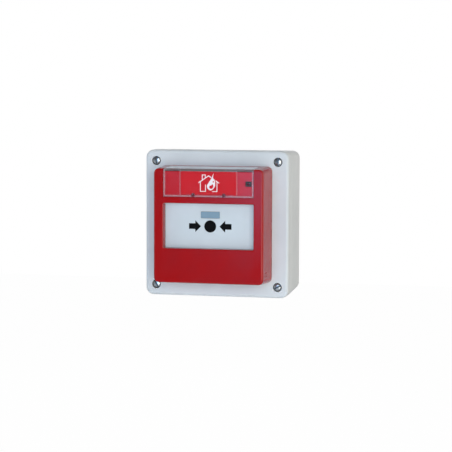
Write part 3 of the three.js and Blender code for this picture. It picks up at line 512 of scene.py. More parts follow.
clear_flap_finish = flap_plastic(22.3, 34.0, (42.15, 43.5), 12.1, span("flap")[0][2] + 1.4)
# painted sheen: a brighter red on the pocket floor, where the clear flap lies over it
paint_pocket_sheen(red_plastic, (186, 34, 46), 37.6, 22.2, 41.9)
clear_pipe_finish = clear("clear light pipe", (120, 40, 50), 0.1, 0.55, 0.9)[0]
window_finish = printed("smoked blue window", (125, 149, 166), (118, 143, 161), 0.18)
card_finish = printed("red card", (197, 12, 28), (190, 9, 24), 0.5, 0.2)
white_print = printed("white print", (234, 226, 230), (222, 210, 216), 0.45)
black_print = printed("black print", (7, 7, 8), (12, 12, 13), 0.5, 0.06)
print("clear and printed finishes made")

# %% [markdown]
# ## Metals
#
# The screws are turned stainless steel: fine rings follow the lathe, so the pattern reads an
# attribute that holds each point's distance from its own axis, and painted shade darkens each screw
# deep in its recess, in the slot and round the foot of the head. Sheet and wire steel, brass and tin
# get a drawn grain instead.


# %% Metals
def metal(name, colour, tone, roughness, grain, rings=False):
    """Metal whose gloss follows lathe rings or a drawn grain, with a little tarnish in a cloud."""
    material, shader, where = begin(name)
    cloud = noise(where, 260, 3.0, 0.6)
    base = between(spread(cloud, 0.0, 1.0), colour, tone)
    if rings:
        distance = put(where, "Attribute", attribute_name="from_axis").outputs["Fac"]
        line = spread(maths("SINE", times(distance, grain)), 0.0, 1.0, -1.0, 1.0)
        # painted shade: the screw is darker below a depth, in the slot and round the foot of the head, deep
        # in its recess
        y = put(where, "SeparateXYZ", {0: where}).outputs["Y"]
        recess_shade = spread(y, 0.0, 0.85, -(head_seat + 2.7) / 1000, -(head_seat + 2.2) / 1000)
        base = between(recess_shade, base, (52, 50, 48))
    else:
        line = noise(stretched(where, (0, 0, 0), (1, 1, 0.06)), grain, 3.0, 0.6)
    gloss = maths("ADD", spread(line, roughness, roughness + 0.08), spread(cloud, 0.0, 0.06))
    wire(shader, Base_Color=base, Roughness=gloss, Metallic=1.0, Normal=relief(line, 0.008, 0.5))
    return material


turned_steel = metal("turned steel", (186, 189, 192), (160, 163, 167), 0.26, 42000, rings=True)
drawn_steel = metal("drawn steel", (200, 202, 205), (178, 181, 186), 0.28, 5200)
tin = metal("tinned copper", (160, 163, 162), (142, 146, 146), 0.42, 5200)
brass = metal("brass", (212, 172, 92), (186, 146, 70), 0.3, 4200)
print("metals made, now", len(bpy.data.materials), "finishes")

# %% [markdown]
# ## Rubber, foam and circuit board
#
# Rubber is matt with a dusty bloom, and foam is full of cells. The board is green resist over a
# weave of glass cloth, a little paler where a sheet of copper lies under it.


# %% Rubber, foam and circuit board
def soft_black(name, colour, tone, roughness, scale, height, cells):
    """Rubber with a dusty bloom, or foam whose cells sink in as small rounded pits."""
    material, shader, where = begin(name)
    bloom = spread(noise(where, 180, 4.0, 0.65), 0.0, 1.0)
    if cells:
        pattern = put(where, "TexVoronoi", {"Vector": where, "Scale": scale}).outputs["Distance"]
    else:
        pattern = noise(where, scale)
    gloss = spread(bloom, roughness, roughness + 0.1, 0.0, 1.0)
    wire(shader, Base_Color=between(bloom, colour, tone), Roughness=gloss)
    wire(shader, Normal=relief(pattern, height, 0.8))
    return material


def laminate(name):
    """Green resist over the weave of glass cloth, paler inside the square cells of a Voronoi pattern."""
    material, shader, where = begin(name)
    weave = noise(where, 2400)
    inputs = {"Vector": where, "Scale": 70, "Randomness": 0.9}
    cells = put(where, "TexVoronoi", inputs, distance="CHEBYCHEV").outputs["Distance"]
    copper = spread(cells, 1.0, 0.0, 0.34, 0.36)
    base = between(copper, (20, 80, 50), (32, 104, 66))
    base = between(spread(weave, 0.0, 0.25), base, (16, 66, 42))
    wire(shader, Base_Color=base, Roughness=spread(weave, 0.28, 0.4), Normal=relief(copper, 0.03, 0.6))
    return material


rubber = soft_black("black rubber", (30, 30, 32), (44, 44, 46), 0.68, 2200, 0.04, False)
foam = soft_black("grey foam", (58, 59, 61), (72, 73, 75), 0.85, 1500, 0.12, True)
board_finish = laminate("board laminate")
track_finish = printed("copper under resist", (52, 132, 86), (44, 118, 76), 0.3)
print("finishes made:", len(bpy.data.materials))

# %% [markdown]
# ## The lid
#
# The lid is a shallow square tray, 12 mm deep, with a full round edge in front. Four deep round
# recesses take the screws, four pillars carry them, and the call point's own screws bite in four
# bosses behind. A loft makes the outside, so its corners and rounded edge are smooth in close-up,
# and Boolean steps cut the rest.

# %% Lid
both = (-1, 1)
corners = np.array([[-1, 1], [1, 1], [-1, -1], [1, -1]])
screw_at = corners * (half_box - 8.5)
fixing_at = np.array([[-35.5, 33.5], [35.5, 33.5], [-35.5, -27.5], [35.5, -27.5]])
box_wall, box_corner, rim_edge, pillar = 3.2, 6, 0.6, 4.998
cable_slot = (-16, 16, -28, -16)


def square_loop(half, radius, steps=12):
    """A square with round corners, given by half its side."""
    return rounded_loop(2 * half, 2 * half, radius, steps=steps)


def box_loop(depth, inset):
    """The box's outline, stepped in."""
    inset = inset + max(0, box_rim + rim_edge - depth)
    return square_loop(half_box - inset, box_corner - inset)


def counterbore(centre, radius, seat, face, edge=0.4):
    """A round recess whose mouth opens in a small quarter circle."""
    t = np.linspace(0, math.radians(80), 4)
    mouth = [(face - edge + edge * np.sin(a), radius + edge * (1 - np.cos(a))) for a in t]
    return turned([(seat, radius), *mouth, (face + 1, mouth[-1][1])], "forward", centre, 40)


lid = carve(
    "lid_moulding",
    round_fronted(box_loop, [box_rim, box_rim + rim_edge], lid_face, 2.2, 8),
    (CUT, slab(square_loop(half_box - box_wall, box_corner - box_wall, 8), box_rim - 1, lid_face - 3)),
    (JOIN, *bars(screw_at, pillar, box_rim, lid_face - 2)),
    (JOIN, *bars(fixing_at, 3.6, lid_face - 7.5, lid_face - 2)),
    (CUT, *bars(screw_at, 2.3, box_rim - 1, lid_face + 1)),
    (CUT, *[counterbore(c, 3.45, head_seat, lid_face) for c in screw_at]),
    (CUT, *bars(fixing_at, 1.65, lid_face - 9, lid_face + 1, 16)),
    (CUT, block(*cable_slot, box_rim, lid_face + 1)),
)
settle(lid, "box", "grey_plastic", grey_plastic, "box_lid")

# %% [markdown]
# ## The base of the box
#
# The base is the deep half that goes on the wall. Its sides draw in slightly towards the wall so
# that it leaves the mould, a ledge in the rim holds the seal, and two large holes in the bottom
# wall take the cables. The draft is a loop that shrinks with depth. The back is recessed by 0.8 mm,
# so only its rim, a pad round each screw slot and four ribs come near the wall.

# %% Base
draft, back_recess, slot_at = 1.6, 0.8, corners * 38
entry_x, entry_depth = 24, 20


def drafted_loop(depth, size, radius):
    """The outline at a depth: full size at the rim, smaller by the draft on each side at the wall."""
    return square_loop(size, radius) * (1 - draft / half_box * (1 - depth / box_rim))


def tilted(shape, side):
    """A shape drawn round the vertical axis, moved to a cable entry and leaned with the wall."""
    points, faces = shape
    lean = math.atan(draft / box_rim)
    place = -half_box + draft * (1 - entry_depth / box_rim)
    x, depth, z = points.T
    ahead = entry_depth + depth * math.cos(lean) + z * math.sin(lean)
    above = place - depth * math.sin(lean) + z * math.cos(lean)
    return np.stack([x + entry_x * side, ahead, above], -1), faces


def edged(width, height, radius, front, edge, centre=(0, 0)):
    """A rounded block from the wall to a depth, flared by edge at the wall for a hole's broken edge
    or drawn in for a pad's. A hole's tool starts a little behind the wall."""
    grow = np.array([edge, 0, 0]) if edge < 0 else np.array([edge, edge, 0, 0])
    depths = [0, abs(edge), front] if edge < 0 else [-1, 0, edge, front]
    return lofted([rounded_loop(width + 2 * g, height + 2 * g, radius + g, centre) for g in grow], depths)


def drafted(steps, corner):
    """A loft of drafted loops from (depth, how far in from the side) pairs."""
    return lofted([drafted_loop(d, half_box - i, corner - i) for d, i in steps], [d for d, _ in steps])


shell_steps = [(0, 0.6), (0.25, 0.25), (0.6, 0), (box_rim - rim_edge, 0), (box_rim, rim_edge)]
gate_mark = turned([(0.9, 0), (0.9, 2.0), (0.35, 2.2), (0.35, 3.2), (2, 3.2)])
base = carve(
    "base_moulding",
    drafted(shell_steps, box_corner),
    (CUT, drafted([(3, box_wall), (box_rim + 1, box_wall)], box_corner)),
    (CUT, slab(square_loop(half_box - 1, 5), box_rim - 1.4, box_rim + 1)),
    (JOIN, *bars(screw_at, pillar, 1.5, box_rim)),
    (CUT, *bars(screw_at, 2.95, box_rim - 14, box_rim + 1)),
    (CUT, *[tilted(bar("up", (0, 0), 10.25, -7, 7, 48), side) for side in both]),
    (CUT, edged(2 * half_box - 14, 2 * half_box - 14, 4, back_recess, 0.25)),
    (JOIN, *[edged(16, 12, 5.9, 2, -0.25, c) for c in slot_at], gate_mark),
    (JOIN, *[block(-28, 28, z - 0.8, z + 0.8, 0.3, 2) for z in (-38, -14, 14, 38)]),
    (CUT, *[edged(9, 5.2, 2.55, 4, 0.25, c) for c in slot_at]),
)
settle(base, "box", "grey_plastic", grey_plastic, "box_base")

# %% [markdown]
# ## The lid screws
#
# Four stainless screws hold the lid. Each head is a low dome with a straight slot, deep in its
# recess, and the thread behind it runs into a brass insert. The dome and shank are one turned
# profile. The thread is the same surface with a radius that also falls and rises with depth minus
# the turn angle, which winds it into a helix.


# %% Lid screws
def threaded_screw(centre, top, seat, tip, head, shank, sides=32):
    """Rings from the dome to the tip. On the thread, of 1 mm pitch, the radius is the shank's minus
    0.45 mm times a triangle wave of depth minus turn / 360, faded out at both ends."""
    t = np.linspace(0, np.pi / 2, 7)
    dome = np.stack([top - 1.0 + np.cos(t), head * 0.98 * np.sin(t)], -1)
    neck = np.array([[seat + 0.4, head], [seat + 0.1, head - 0.08], [seat, head - 0.25], [seat, shank]])
    depth = np.linspace(seat - 2, tip + 0.5, int((seat - tip - 2) * 8))
    point = np.array([[tip + 0.2, shank * 0.72], [tip, shank * 0.5], [tip, 0]])
    profile = np.concatenate([dome, neck, np.stack([depth, np.full(len(depth), shank)], -1), point])[::-1]
    points, faces = turned(profile, sides=sides)
    grid = points.reshape(len(profile), sides, 3)
    along = grid[..., 1]
    wave = np.abs(((along - np.linspace(0, 1, sides, endpoint=False)) % 1) * 2 - 1)
    fade = np.clip((seat - 2 - along) / 1.5, 0, 1) * np.clip(along - tip - 0.4, 0, 1)
    grid[..., [0, 2]] *= (1 - 0.45 / shank * wave * fade)[..., None]
    return grid.reshape(-1, 3) + [centre[0], 0, centre[1]], faces


def slot_tool(centre, turn, width, reach, rear, front):
    """A bar across a screw head, turned by an angle in degrees."""
    angle = math.radians(turn)
    spin = np.array([[math.cos(angle), math.sin(angle)], [-math.sin(angle), math.cos(angle)]])
    loop = np.array([[width, reach], [-width, reach], [-width, -reach], [width, -reach]]) @ spin
    return slab(loop + centre, rear, front)


def mark_axis(piece, centre):
    """Stores each point's distance from the axis through centre as the attribute from_axis."""
    place = np.empty(len(piece.data.vertices) * 3, np.float32)
    piece.data.vertices.foreach_get("co", place)
    place = place.reshape(-1, 3)[:, [0, 2]] - np.array(centre) * 0.001
    store = piece.data.attributes.new("from_axis", "FLOAT", "POINT")
    store.data.foreach_set("value", np.linalg.norm(place, axis=1).astype(np.float32))


seat = head_seat + 0.8
for number, (centre, turn) in enumerate(zip(screw_at, (0, 0, 28, -62)), 1):
    shape = threaded_screw(centre, seat + 2.5, seat, seat - 20.55, 3.1, 1.9)
    slot = slot_tool(centre, turn, 0.62, 5, seat + 1.1, seat + 4)
    screw = carve(f"dome_screw_{number}", shape, (CUT, slot))
    mark_axis(screw, centre)
    settle(screw, "box", "steel", turned_steel, f"lid_screw_{number}")

# %% [markdown]
# ## The mounting base
#
# Behind the cover is the call point's own base: a flange that lies on the lid and a tray that holds
# the board and the mechanism on posts. Split knuckles on its left edge carry the cover's hinge pins,
# a notch on its right takes the latch, and a slot in its floor lets the cables through.

# %% Mounting base
hinge_at = (-half_width + 0.3, lid_face + 1.9)
hinge_middles = (30.2, -30.2)
knuckle, knuckle_room, pin_hole = 1.5, 1.8, 0.85
cover_knuckles = [(z - 2.45, z + 2.45) for z in hinge_middles]
base_knuckles = [(z + end * 4.25 - 1.5, z + end * 4.25 + 1.5) for z in hinge_middles for end in both]
tray_half, tray_low, tray_high = half_width - 3.7, -(half_height - 3.7), half_height - 5.8
tray_floor, tray_front, tray_wall = lid_face + 2.5, lid_face + 15, 1.6
board_posts = [(-24, 34.2), (24, 34.2), (-22, -25.8), (22, -25.8)]
frame_posts = corners * [36.5, 20]
key_axis = (0, 63)


def flange_loop(depth, inset=0.0):
    """The flange's outline, stepped in."""
    return rounded_loop(2 * (half_width - inset), 2 * (half_height - inset), 4 - inset, steps=10)


def under_flange(inset, radius, rear, front):
    """A solid under the flange, stepped in from its edge."""
    return slab(rounded_loop(2 * (half_width - inset), 2 * (half_height - inset), radius), rear, front)


def tray(inset, radius, steps, rear, front):
    """The tray's outline, stepped in, between two depths."""
    size = (2 * (tray_half - inset), tray_high - tray_low - 2 * inset)
    return slab(rounded_loop(*size, radius, (0, (tray_low + tray_high) / 2), steps), rear, front)


def along_hinge(ranges, radius, room=0.0, sides=32):
    """A bar on the hinge axis for each range of z, longer by the room at both ends."""
    return [bar("up", hinge_at, radius, low - room, high + room, sides) for low, high in ranges]


def webs(ranges, reach, rear, front):
    """A block from the hinge axis to the wall beside it for each range of z."""
    return [block(hinge_at[0], hinge_at[0] + reach, *z, rear, front) for z in ranges]


pin_holes = along_hinge([(z, z) for z in hinge_middles], pin_hole, 7, 24)
seal_inside = under_flange(5.25, 1.5, lid_face - 2, lid_face + 3)
groove = carve("groove", under_flange(2.45, 3, lid_face - 1, lid_face + 1.2), (CUT, seal_inside))
backplate = carve(
    "backplate_moulding",
    round_fronted(flange_loop, [lid_face], lid_face + 2, 0.4, 3),
    (JOIN, tray(0, 2.5, 8, lid_face, tray_front)),
    (CUT, tray(tray_wall, 0.4, 4, tray_floor, tray_front + 1)),
    (CUT, *along_hinge(cover_knuckles, knuckle_room, 0.3), groove),
    (JOIN, *bars(board_posts, 2.2, tray_floor - 0.5, tray_floor + 2)),
    (JOIN, *bars(frame_posts, 2.9, tray_floor - 0.5, tray_floor + 5.4)),
    (JOIN, *webs(base_knuckles, 2, lid_face + 0.4, lid_face + 2)),
    (JOIN, *along_hinge(base_knuckles, knuckle)),
    (JOIN, block(31, 32, tray_low, -32.9, tray_floor, tray_front)),
    (JOIN, block(31, 39.4, -34.1, -32.9, tray_floor, tray_front)),
    (JOIN, block(31, 39.4, -35.6, -34.0, tray_floor - 0.1, 59)),
    (CUT, *pin_holes),
    (CUT, *bars(fixing_at, 1.8, lid_face - 1, tray_floor + 1)),
    (CUT, *bars(board_posts, 0.95, tray_floor - 0.5, tray_floor + 3, 16)),
    (CUT, *bars(frame_posts, 1.1, tray_floor, tray_floor + 6, 16)),
    (CUT, block(*cable_slot, lid_face - 1, tray_floor + 1)),
    (CUT, block(tray_half - 3, tray_half + 1, -39.1, -34.7, 61.6, tray_front + 1)),
    (CUT, bar("up", key_axis, 3.3, tray_low - 1, tray_low + 3, 32)),
)
settle(backplate, "box", "red_plastic", red_plastic, "mounting_base")

# %% [markdown]
# ## The outline of the cover
#
# The red cover is a box 27 mm deep whose sides draw in towards the front. Its outline is used for
# the outside, the cavity, the walls of the flap's pocket and the flap, which all follow it. The
# pocket, its walls and the flap are also the same step in the cover's top, seen from the side.

# %% The cover's outline
cover_draft, cover_wall = 1.1, 2.2


def cover_loop(depth, inset=0.0):
    """The outline at a depth: it shrinks evenly by the draft on each side from rear to front."""
    share = (depth - cover_rear) / (cover_face - cover_rear) * cover_draft
    return flange_loop(depth, inset) * [1 - share / half_width, 1 - share / half_height]


def cover_outside():
    """The whole outside of the cover as a solid."""
    return round_fronted(cover_loop, [cover_rear], cover_face, 1.5, 7)


def mouth(loop_at, rear, face, edge):
    """A tool for an opening: straight from the rear, then growing by edge * (1 - cos t) to the face."""
    t = np.linspace(0, math.radians(84), 6)
    depths = np.concatenate([[rear], face - edge + edge * np.sin(t), [face + 2]])
    grow = np.concatenate([[0], edge * (1 - np.cos(t)), [edge]])
    return lofted([loop_at(g) for g in grow], depths)


def top_step(low, rear, floor, deep, half):
    """Everything in front of deep and above low, and behind that, back to rear, everything above
    the floor, carried across by half the width to each side. It reaches out past the cover."""
    ahead, above = cover_face + 2, 52
    profile = [(ahead, low), (ahead, above), (rear, above), (rear, floor), (deep, floor), (deep, low)]
    return carried_across(profile, -half, half)


flap_half, flap_bottom = span("flap")[1][0] - 1.75, span("flap")[0][2]
flap_axis = (cover_rear + 3.5, half_height - 1.6)
top_floor, gap, pocket_wall = half_height - 3.35, 0.45, 1.8
print(f"flap {2 * flap_half:.1f} mm wide, pocket floor at {pocket_floor:.2f}")

# %% [markdown]
# ## The front cover
#
# The cover is made the way its mould is: an outside, a cavity with walls of 2.2 mm, ribs and pocket
# walls joined on, then the openings cut. A step in its top takes the flap and a rectangular mouth
# shows the pane. The mouth's edge is drawn as a quarter circle in the cutting tool, so it catches
# the light.

# %% Front cover
outer = gap + pocket_wall
behind = pocket_floor - pocket_wall
wall_space = top_step(flap_bottom - outer, cover_rear, top_floor - pocket_wall, behind, flap_half + outer)
pocket_walls = carve("pocket_walls", cover_outside(), (KEEP, wall_space))
cavity = (cover_rear - 1, cover_face - cover_wall)
pocket = top_step(flap_bottom - gap, flap_axis[0] - 1.9, top_floor, pocket_floor, flap_half + gap)
trunnions = [sorted((side * flap_half, side * (flap_half + 2.1))) for side in both]
latch_key_holes = [rounded_loop(2.8, 1.3, 0.64, (cover_face - 9.5, z), 5) for z in (-38.3, -35.6)]
cover = carve(
    "cover_moulding",
    cover_outside(),
    (CUT, lofted([cover_loop(depth, cover_wall) for depth in cavity], cavity)),
    (JOIN, pocket_walls, slab(rounded_loop(73.4, 37.2, 1.4), pane_face + 0.4, cover_face - 1)),
    (JOIN, block(41.25, 42.5, -38.7, -35.1, 59.8, 61.4)),
    (CUT, *along_hinge(base_knuckles, knuckle_room, 0.3)),
    (JOIN, *webs(cover_knuckles, 1.9, cover_rear, cover_rear + 1)),
    (JOIN, *along_hinge(cover_knuckles, knuckle)),
    (CUT, pocket),
    (CUT, mouth(lambda g: rounded_loop(71 + 2 * g, 34.8 + 2 * g, 1 + g), pane_face - 1, cover_face, 0.8)),
    (CUT, block(-22.4, 22.4, top_floor - 2.8, top_floor + 0.1, pocket_floor - 4.2, behind)),
    (CUT, block(28.55, 33.45, 30.8, 34.8, pocket_floor - 2.8, pocket_floor + 1)),
    (CUT, *[bar("across", flap_axis, 1.25, *ends) for ends in trunnions]),
    (CUT, *[carried_across(hole, 39.2, 46) for hole in latch_key_holes]),
    (CUT, bar("up", key_axis, 3.4, -46.1, -41.1, 40)),
    (CUT, *pin_holes),
)
settle(cover, "cover", "red_plastic", red_plastic, "front_cover")

# %% [markdown]
# ## The clear flap
#
# The flap is one clear moulding: a front plate over the card and a top plate that turns back over
# the cover's step, on two trunnions. It follows the outside of the cover, so it is the cover's
# solid kept only where two plates are. Two small feet on the lower edge hold the card flat.

# %% Flap
flap_rear = cover_face - 1.6
plates = top_step(flap_bottom, flap_axis[0], top_floor + 0.55, flap_rear, flap_half)
swell = np.linspace(0, np.pi / 2, 6)
dimple = [(cover_face - 0.5, 1.35), *zip(cover_face - 0.1 + 0.4 * np.sin(swell), 1.35 * np.cos(swell))]
feet_x = (-12.1, 12.1)
flap = carve(
    "clear_flap",
    cover_outside(),
    (KEEP, plates),
    (JOIN, bar("across", flap_axis, 1.45, -flap_half, flap_half, 32)),
    (JOIN, bar("across", flap_axis, 1.0, -flap_half - 1.75, flap_half + 1.75)),
    (JOIN, *bars([(x, flap_bottom + 1.4) for x in feet_x], 1.2, card_face + 0.2, flap_rear + 0.2)),
    (JOIN, *[turned(dimple, "forward", (x, flap_bottom + 1.6)) for x in feet_x]),
)
settle(flap, "flap_body", "clear_plastic", clear_flap_finish, "flap")

# %% [markdown]
# ## Lines and curves for the print
#
# Print and tracks are drawn with two kinds of outline: a line of even width along a path, and a
# smooth closed curve through a few points. Each is a loop that is carried forwards by a tenth of a
# millimetre or less, so that it lies on its surface as a film.


# %% Lines and curves for the print
def stroke(path, width):
    """A line of even width along a path of (x, z) points. Each side is the path moved by half the
    width along the corner's mitre, which is the mean normal divided by its cosine."""
    path = np.asarray(path, float)
    step = np.diff(path, axis=0)
    step /= np.linalg.norm(step, axis=1)[:, None]
    normal = np.stack([-step[:, 1], step[:, 0]], -1)
    before, after = np.vstack([normal[:1], normal]), np.vstack([normal, normal[-1:]])
    mitre = (before + after) / (1 + (before * after).sum(1))[:, None]
    return np.vstack([path + mitre * width / 2, (path - mitre * width / 2)[::-1]])[::-1]


def smooth_loop(points, steps=8):
    """A closed Catmull-Rom curve: between two points the curve is a cubic of the four nearest."""
    a, b, c, d = (np.roll(np.asarray(points, float), shift, 0) for shift in (1, 0, -1, -2))
    t = np.linspace(0, 1, steps, endpoint=False)[:, None, None]
    curve = 0.5 * (2 * b + (c - a) * t + (2 * a - 5 * b + 4 * c - d) * t**2 + (3 * b - a - 3 * c + d) * t**3)
    return curve.transpose(1, 0, 2).reshape(-1, 2)


def together(name, shapes):
    """Joins closed solids into one piece."""
    return carve(name, shapes[0], (JOIN, *shapes[1:]))


print("a line of two points has", len(stroke([(0, 0), (1, 0)], 0.5)), "corners")

# %% [markdown]
# ## The symbol card
#
# Behind the flap lies a thin red card with the sign for a fire in a house, which is what this kind
# of switch is marked with everywhere. The card has slightly round corners. The white sign is a
# film laid on it. A red line separates the flame from the house: the flame is first cut out of the
# house 1.22 times as large. Its heart is a hole.

# %% Card and sign
card_size = (card_high[0] - card_low[0], card_high[2] - card_low[2])
card_loop = rounded_loop(*card_size, 0.8, (0, (card_low[2] + card_high[2]) / 2))
card = carve("red_card", slab(card_loop, card_low[1], card_face))
settle(card, "cover", "card", card_finish, "symbol_card", width=0.05)

left_wall = [(-2.5, 31.95), (-2.5, 26.75), (-6.55, 26.75), (-6.55, 33.9)]
right_wall = [(1.9, 26.75), (6.5, 26.75), (6.5, 33.9)]
roof = [(-8.1, 33.2), (-0.1, 38.7), (8.1, 33.2)]
chimney = [(-5.05, 35.6), (-5.05, 39.35), (-2.7, 39.35), (-2.7, 37.2)]
flame_right = [(3.9, 40.6), (3.35, 37.4), (4.7, 35.3), (5.1, 32.6), (4.6, 30.1), (2.0, 27.6)]
flame = np.array([*flame_right, (-0.5, 28.6), (-1.35, 31.0), (0.1, 33.6), (1.6, 36.0), (2.8, 38.4)])
heart = [(3.1, 32.4), (3.6, 30.3), (2.3, 28.7), (0.6, 29.4), (0.7, 31.0), (2.1, 31.5)]
spark = [(3.9, 34.9), (4.2, 34.0), (3.5, 33.6), (3.0, 34.1)]
ink = (card_face - 0.02, card_face + 0.08)
through = (card_face - 1, card_face + 1)
sign = carve(
    "white_sign",
    slab(stroke(roof, 0.66), *ink),
    (JOIN, *[slab(stroke(line, 0.56), *ink) for line in (left_wall, right_wall, chimney)]),
    (CUT, slab(smooth_loop(flame + (flame - np.mean(flame, 0)) * 0.22), *through)),
    (JOIN, slab(smooth_loop(flame), *ink)),
    (CUT, *[slab(smooth_loop(hole), *through) for hole in (heart, spark)]),
)
settle(sign, "cover", "card", white_print)

# %% [markdown]
# ## The pane and its marks
#
# The white pane is the part that is pressed: a flat plate behind the mouth of the cover, with two
# sleeves that slide on posts, rails for the yellow flag and a finger for the switch. Its window
# is a separate smoked insert. A black dot between two arrows says where to press.

# %% Pane
pane_rear = pane_face - 1.8
posts = [(-30, 0), (30, 0)]


def rail_pair(inner, front):
    """A block on each side of the window, from inner out to 10.25 mm."""
    return [block(*sorted((s * inner, s * 10.25)), -2.5, 17.6, pane_rear - 2.3, front) for s in both]


pane = carve(
    "press_pane",
    slab(rounded_loop(74, 40.4, 1.0), pane_rear, pane_face),
    (CUT, slab(rounded_loop(15.1, 5.4, 0.5, (0, 8.3)), pane_rear - 1, pane_face + 1)),
    (JOIN, *bars(posts, 2.5, pane_rear - 4.9, pane_rear + 0.2)),
    (CUT, *bars(posts, 1.8, pane_rear - 6, pane_rear - 0.01)),
    (JOIN, *rail_pair(9.05, pane_rear + 0.2), *rail_pair(7.85, pane_rear - 1.5)),
    (JOIN, block(-10, -8, -8.8, -6.2, span("operating_pane")[0][1], pane_rear + 0.2)),
)
settle(pane, "pane", "white_plastic", white_plastic, "operating_pane")

ink = (pane_face - 0.05, pane_face + 0.05)
dot = (0, -0.5)


def arrow(side):
    """An arrow that points at the dot from one side: a shaft and a triangular head."""
    x = np.array([7.3, 11.8, 11.8, 16.8, 16.8, 11.8, 11.8]) * side
    z = np.array([0, 4.55, 2.2, 2.2, -2.2, -2.2, -4.55]) + dot[1]
    return slab(np.stack([x, z], -1)[::side], *ink)


marks = together("press_marks", [bar("forward", dot, 4.7, *ink, 64), arrow(1), arrow(-1)])
settle(marks, "pane", "dark_plastic", black_print)

# %% [markdown]
# ## Tracks and pads of the board
#
# With the cover open the board is in plain view, so it carries what such a board has. Its tracks
# are strokes, as on the card, a few hundredths of a millimetre proud, and a soldered pad lies on
# each of their ends.

# %% Tracks and pads
board_face = span("circuit_board")[1][1]
skin = (board_face - 0.02, board_face + 0.05)
routes = [
    [(-31, 34), (-31, 24.5), (-20, 24.5)],
    [(-28.5, 35.3), (-19.5, 35.3), (-16.5, 32.3)],
    [(3.5, 34.8), (18, 34.8), (21, 31.8), (28, 31.8)],
    [(3.5, 33.2), (17.2, 33.2), (20.4, 30), (31, 30)],
    [(3.5, 24.2), (14, 24.2), (18, 28.2), (30, 28.2)],
    [(-30, -27), (-27, -24), (-27, -15)],
    [(-17.5, -28), (-17.5, -24), (-15.8, -22.3), (-15.8, -14)],
    [(17.5, -28), (17.5, -24), (19.2, -22.3), (19.2, -14)],
    [(11, -28), (11, -24.8), (15.6, -20.2), (15.6, -14)],
    [(28, -28), (28, -22), (30.5, -19.5), (30.5, -12)],
]
track_lines = together("board_tracks", [slab(stroke(route, 0.7), *skin) for route in routes])
settle(track_lines, "box", "board_laminate", track_finish)
pad_at = [end for route in routes for end in (route[0], route[-1])]
pads = together("solder_pads", bars(pad_at, 0.75, skin[0], skin[1] + 0.12, 20))
settle(pads, "box", "steel", tin, width=0.06)

# %% [markdown]
# ## Components and clamp screws
#
# The board also has a row of small resistors and capacitors with tinned ends, one chip with its
# legs, and a slotted clamp screw in each pole of the terminals. All but the screws are blocks, so
# one function places a row of them from its centres and its size.


# %% Components and clamp screws
def chips(name, *rows):
    """Small blocks on the board as one piece, from rows of (centres, long, wide, high)."""
    blocks = [
        block(x - long / 2, x + long / 2, z - wide / 2, z + wide / 2, board_face, board_face + high)
        for centres, long, wide, high in rows
        for x, z in centres
    ]
    return together(name, blocks)


small_row = [(7 + 3.1 * i, 27.4) for i in range(5)]
upright_row = [(14, 20.2), (16.8, 20.2), (-30.2, 19.8)]
components = chips("small_components", (small_row, 1.3, 0.9, 0.5), (upright_row, 1.0, 1.6, 0.6))
settle(components, "box", "dark_plastic", black_plastic, width=0.05)
caps = [(x + side * 0.78, z) for x, z in small_row for side in both]
settle(chips("component_ends", (caps, 0.28, 0.94, 0.54)), "box", "steel", tin, width=0.04)
chip_x, chip_z = 11.2, 31.0
chip = block(chip_x - 3.2, chip_x + 3.2, chip_z - 2.1, chip_z + 2.1, board_face, board_face + 1.5)
leg_mark = bar("forward", (chip_x - 2.3, chip_z + 1.2), 0.35, board_face + 1.4, board_face + 1.52, 16)
settle(together("controller_chip", [chip, leg_mark]), "box", "dark_plastic", black_plastic)
leg_at = [(chip_x - 2.2 + 1.1 * i, chip_z + side * 2.5) for i in range(5) for side in both]
settle(chips("chip_legs", (leg_at, 0.4, 0.9, 0.45)), "box", "steel", drawn_steel, width=0.05)
low, high = span("terminal_block_right")
pitch, face = (high[0] - low[0]) / 4, high[1]
clamp_at = [(side * (low[0] + pitch * (i + 0.5)), high[2] - 3) for i in range(4) for side in both]
clamp_profile = [(face - 1.62, 1.55), (face - 0.7, 1.55), (face - 0.55, 1.4), (face - 0.55, 0)]
for number, centre in enumerate(clamp_at, 1):
    slot = slot_tool(centre, 15 + 37 * number, 0.25, 2, face - 1.1, face + 1)
    clamp = carve(f"clamp_screw_{number}", turned(clamp_profile, "forward", centre, 28), (CUT, slot))
    settle(clamp, "box", "steel", drawn_steel)

# %% [markdown]
# ## The springs
#
# Two springs push the pane forwards and a small one holds the latch. A spring is a circle carried
# along a helix: the centre line is radius times cosine and sine of the turn, and each point of the
# wire is that plus the wire's radius along the outward and sideways directions. The end turns lie
# closer, as ground spring ends do. A spring can't follow two bodies, so it stays with the box and
# keeps a mesh of its own.


# %% Springs
def coil(centre, start, end, radius, wire, across=False, turns=4.5, sides=8, steps=28):
    """Rings of the wire along a helix that runs forwards, or across. The pitch eases in over the
    first and last turn."""
    u = np.linspace(0, 1, int(turns * steps) + 1)
    ease = np.interp(u, [0, 0.75 / turns, 1 - 0.75 / turns, 1], [0, 0.06, 0.94, 1])
    turn = u * turns * 2 * np.pi
    along = start + wire + (end - start - 2 * wire) * ease
    out = np.stack([np.cos(turn), 0 * u, np.sin(turn)], -1)
    middle = out * radius + np.stack([0 * u, along, 0 * u], -1)
    step = np.gradient(middle, axis=0)
    step /= np.linalg.norm(step, axis=1)[:, None]
    aside = np.cross(step, out)
    phi = np.linspace(0, 2 * np.pi, sides, endpoint=False)[None, :, None]
    points = middle[:, None] + wire * (np.cos(phi) * out[:, None] + np.sin(phi) * aside[:, None])
    x, along, z = (points.reshape(-1, 3) + [centre[0], 0, centre[1]]).T
    return np.stack([along, x, z] if across else [x, along, z], -1), capped(len(u), sides)


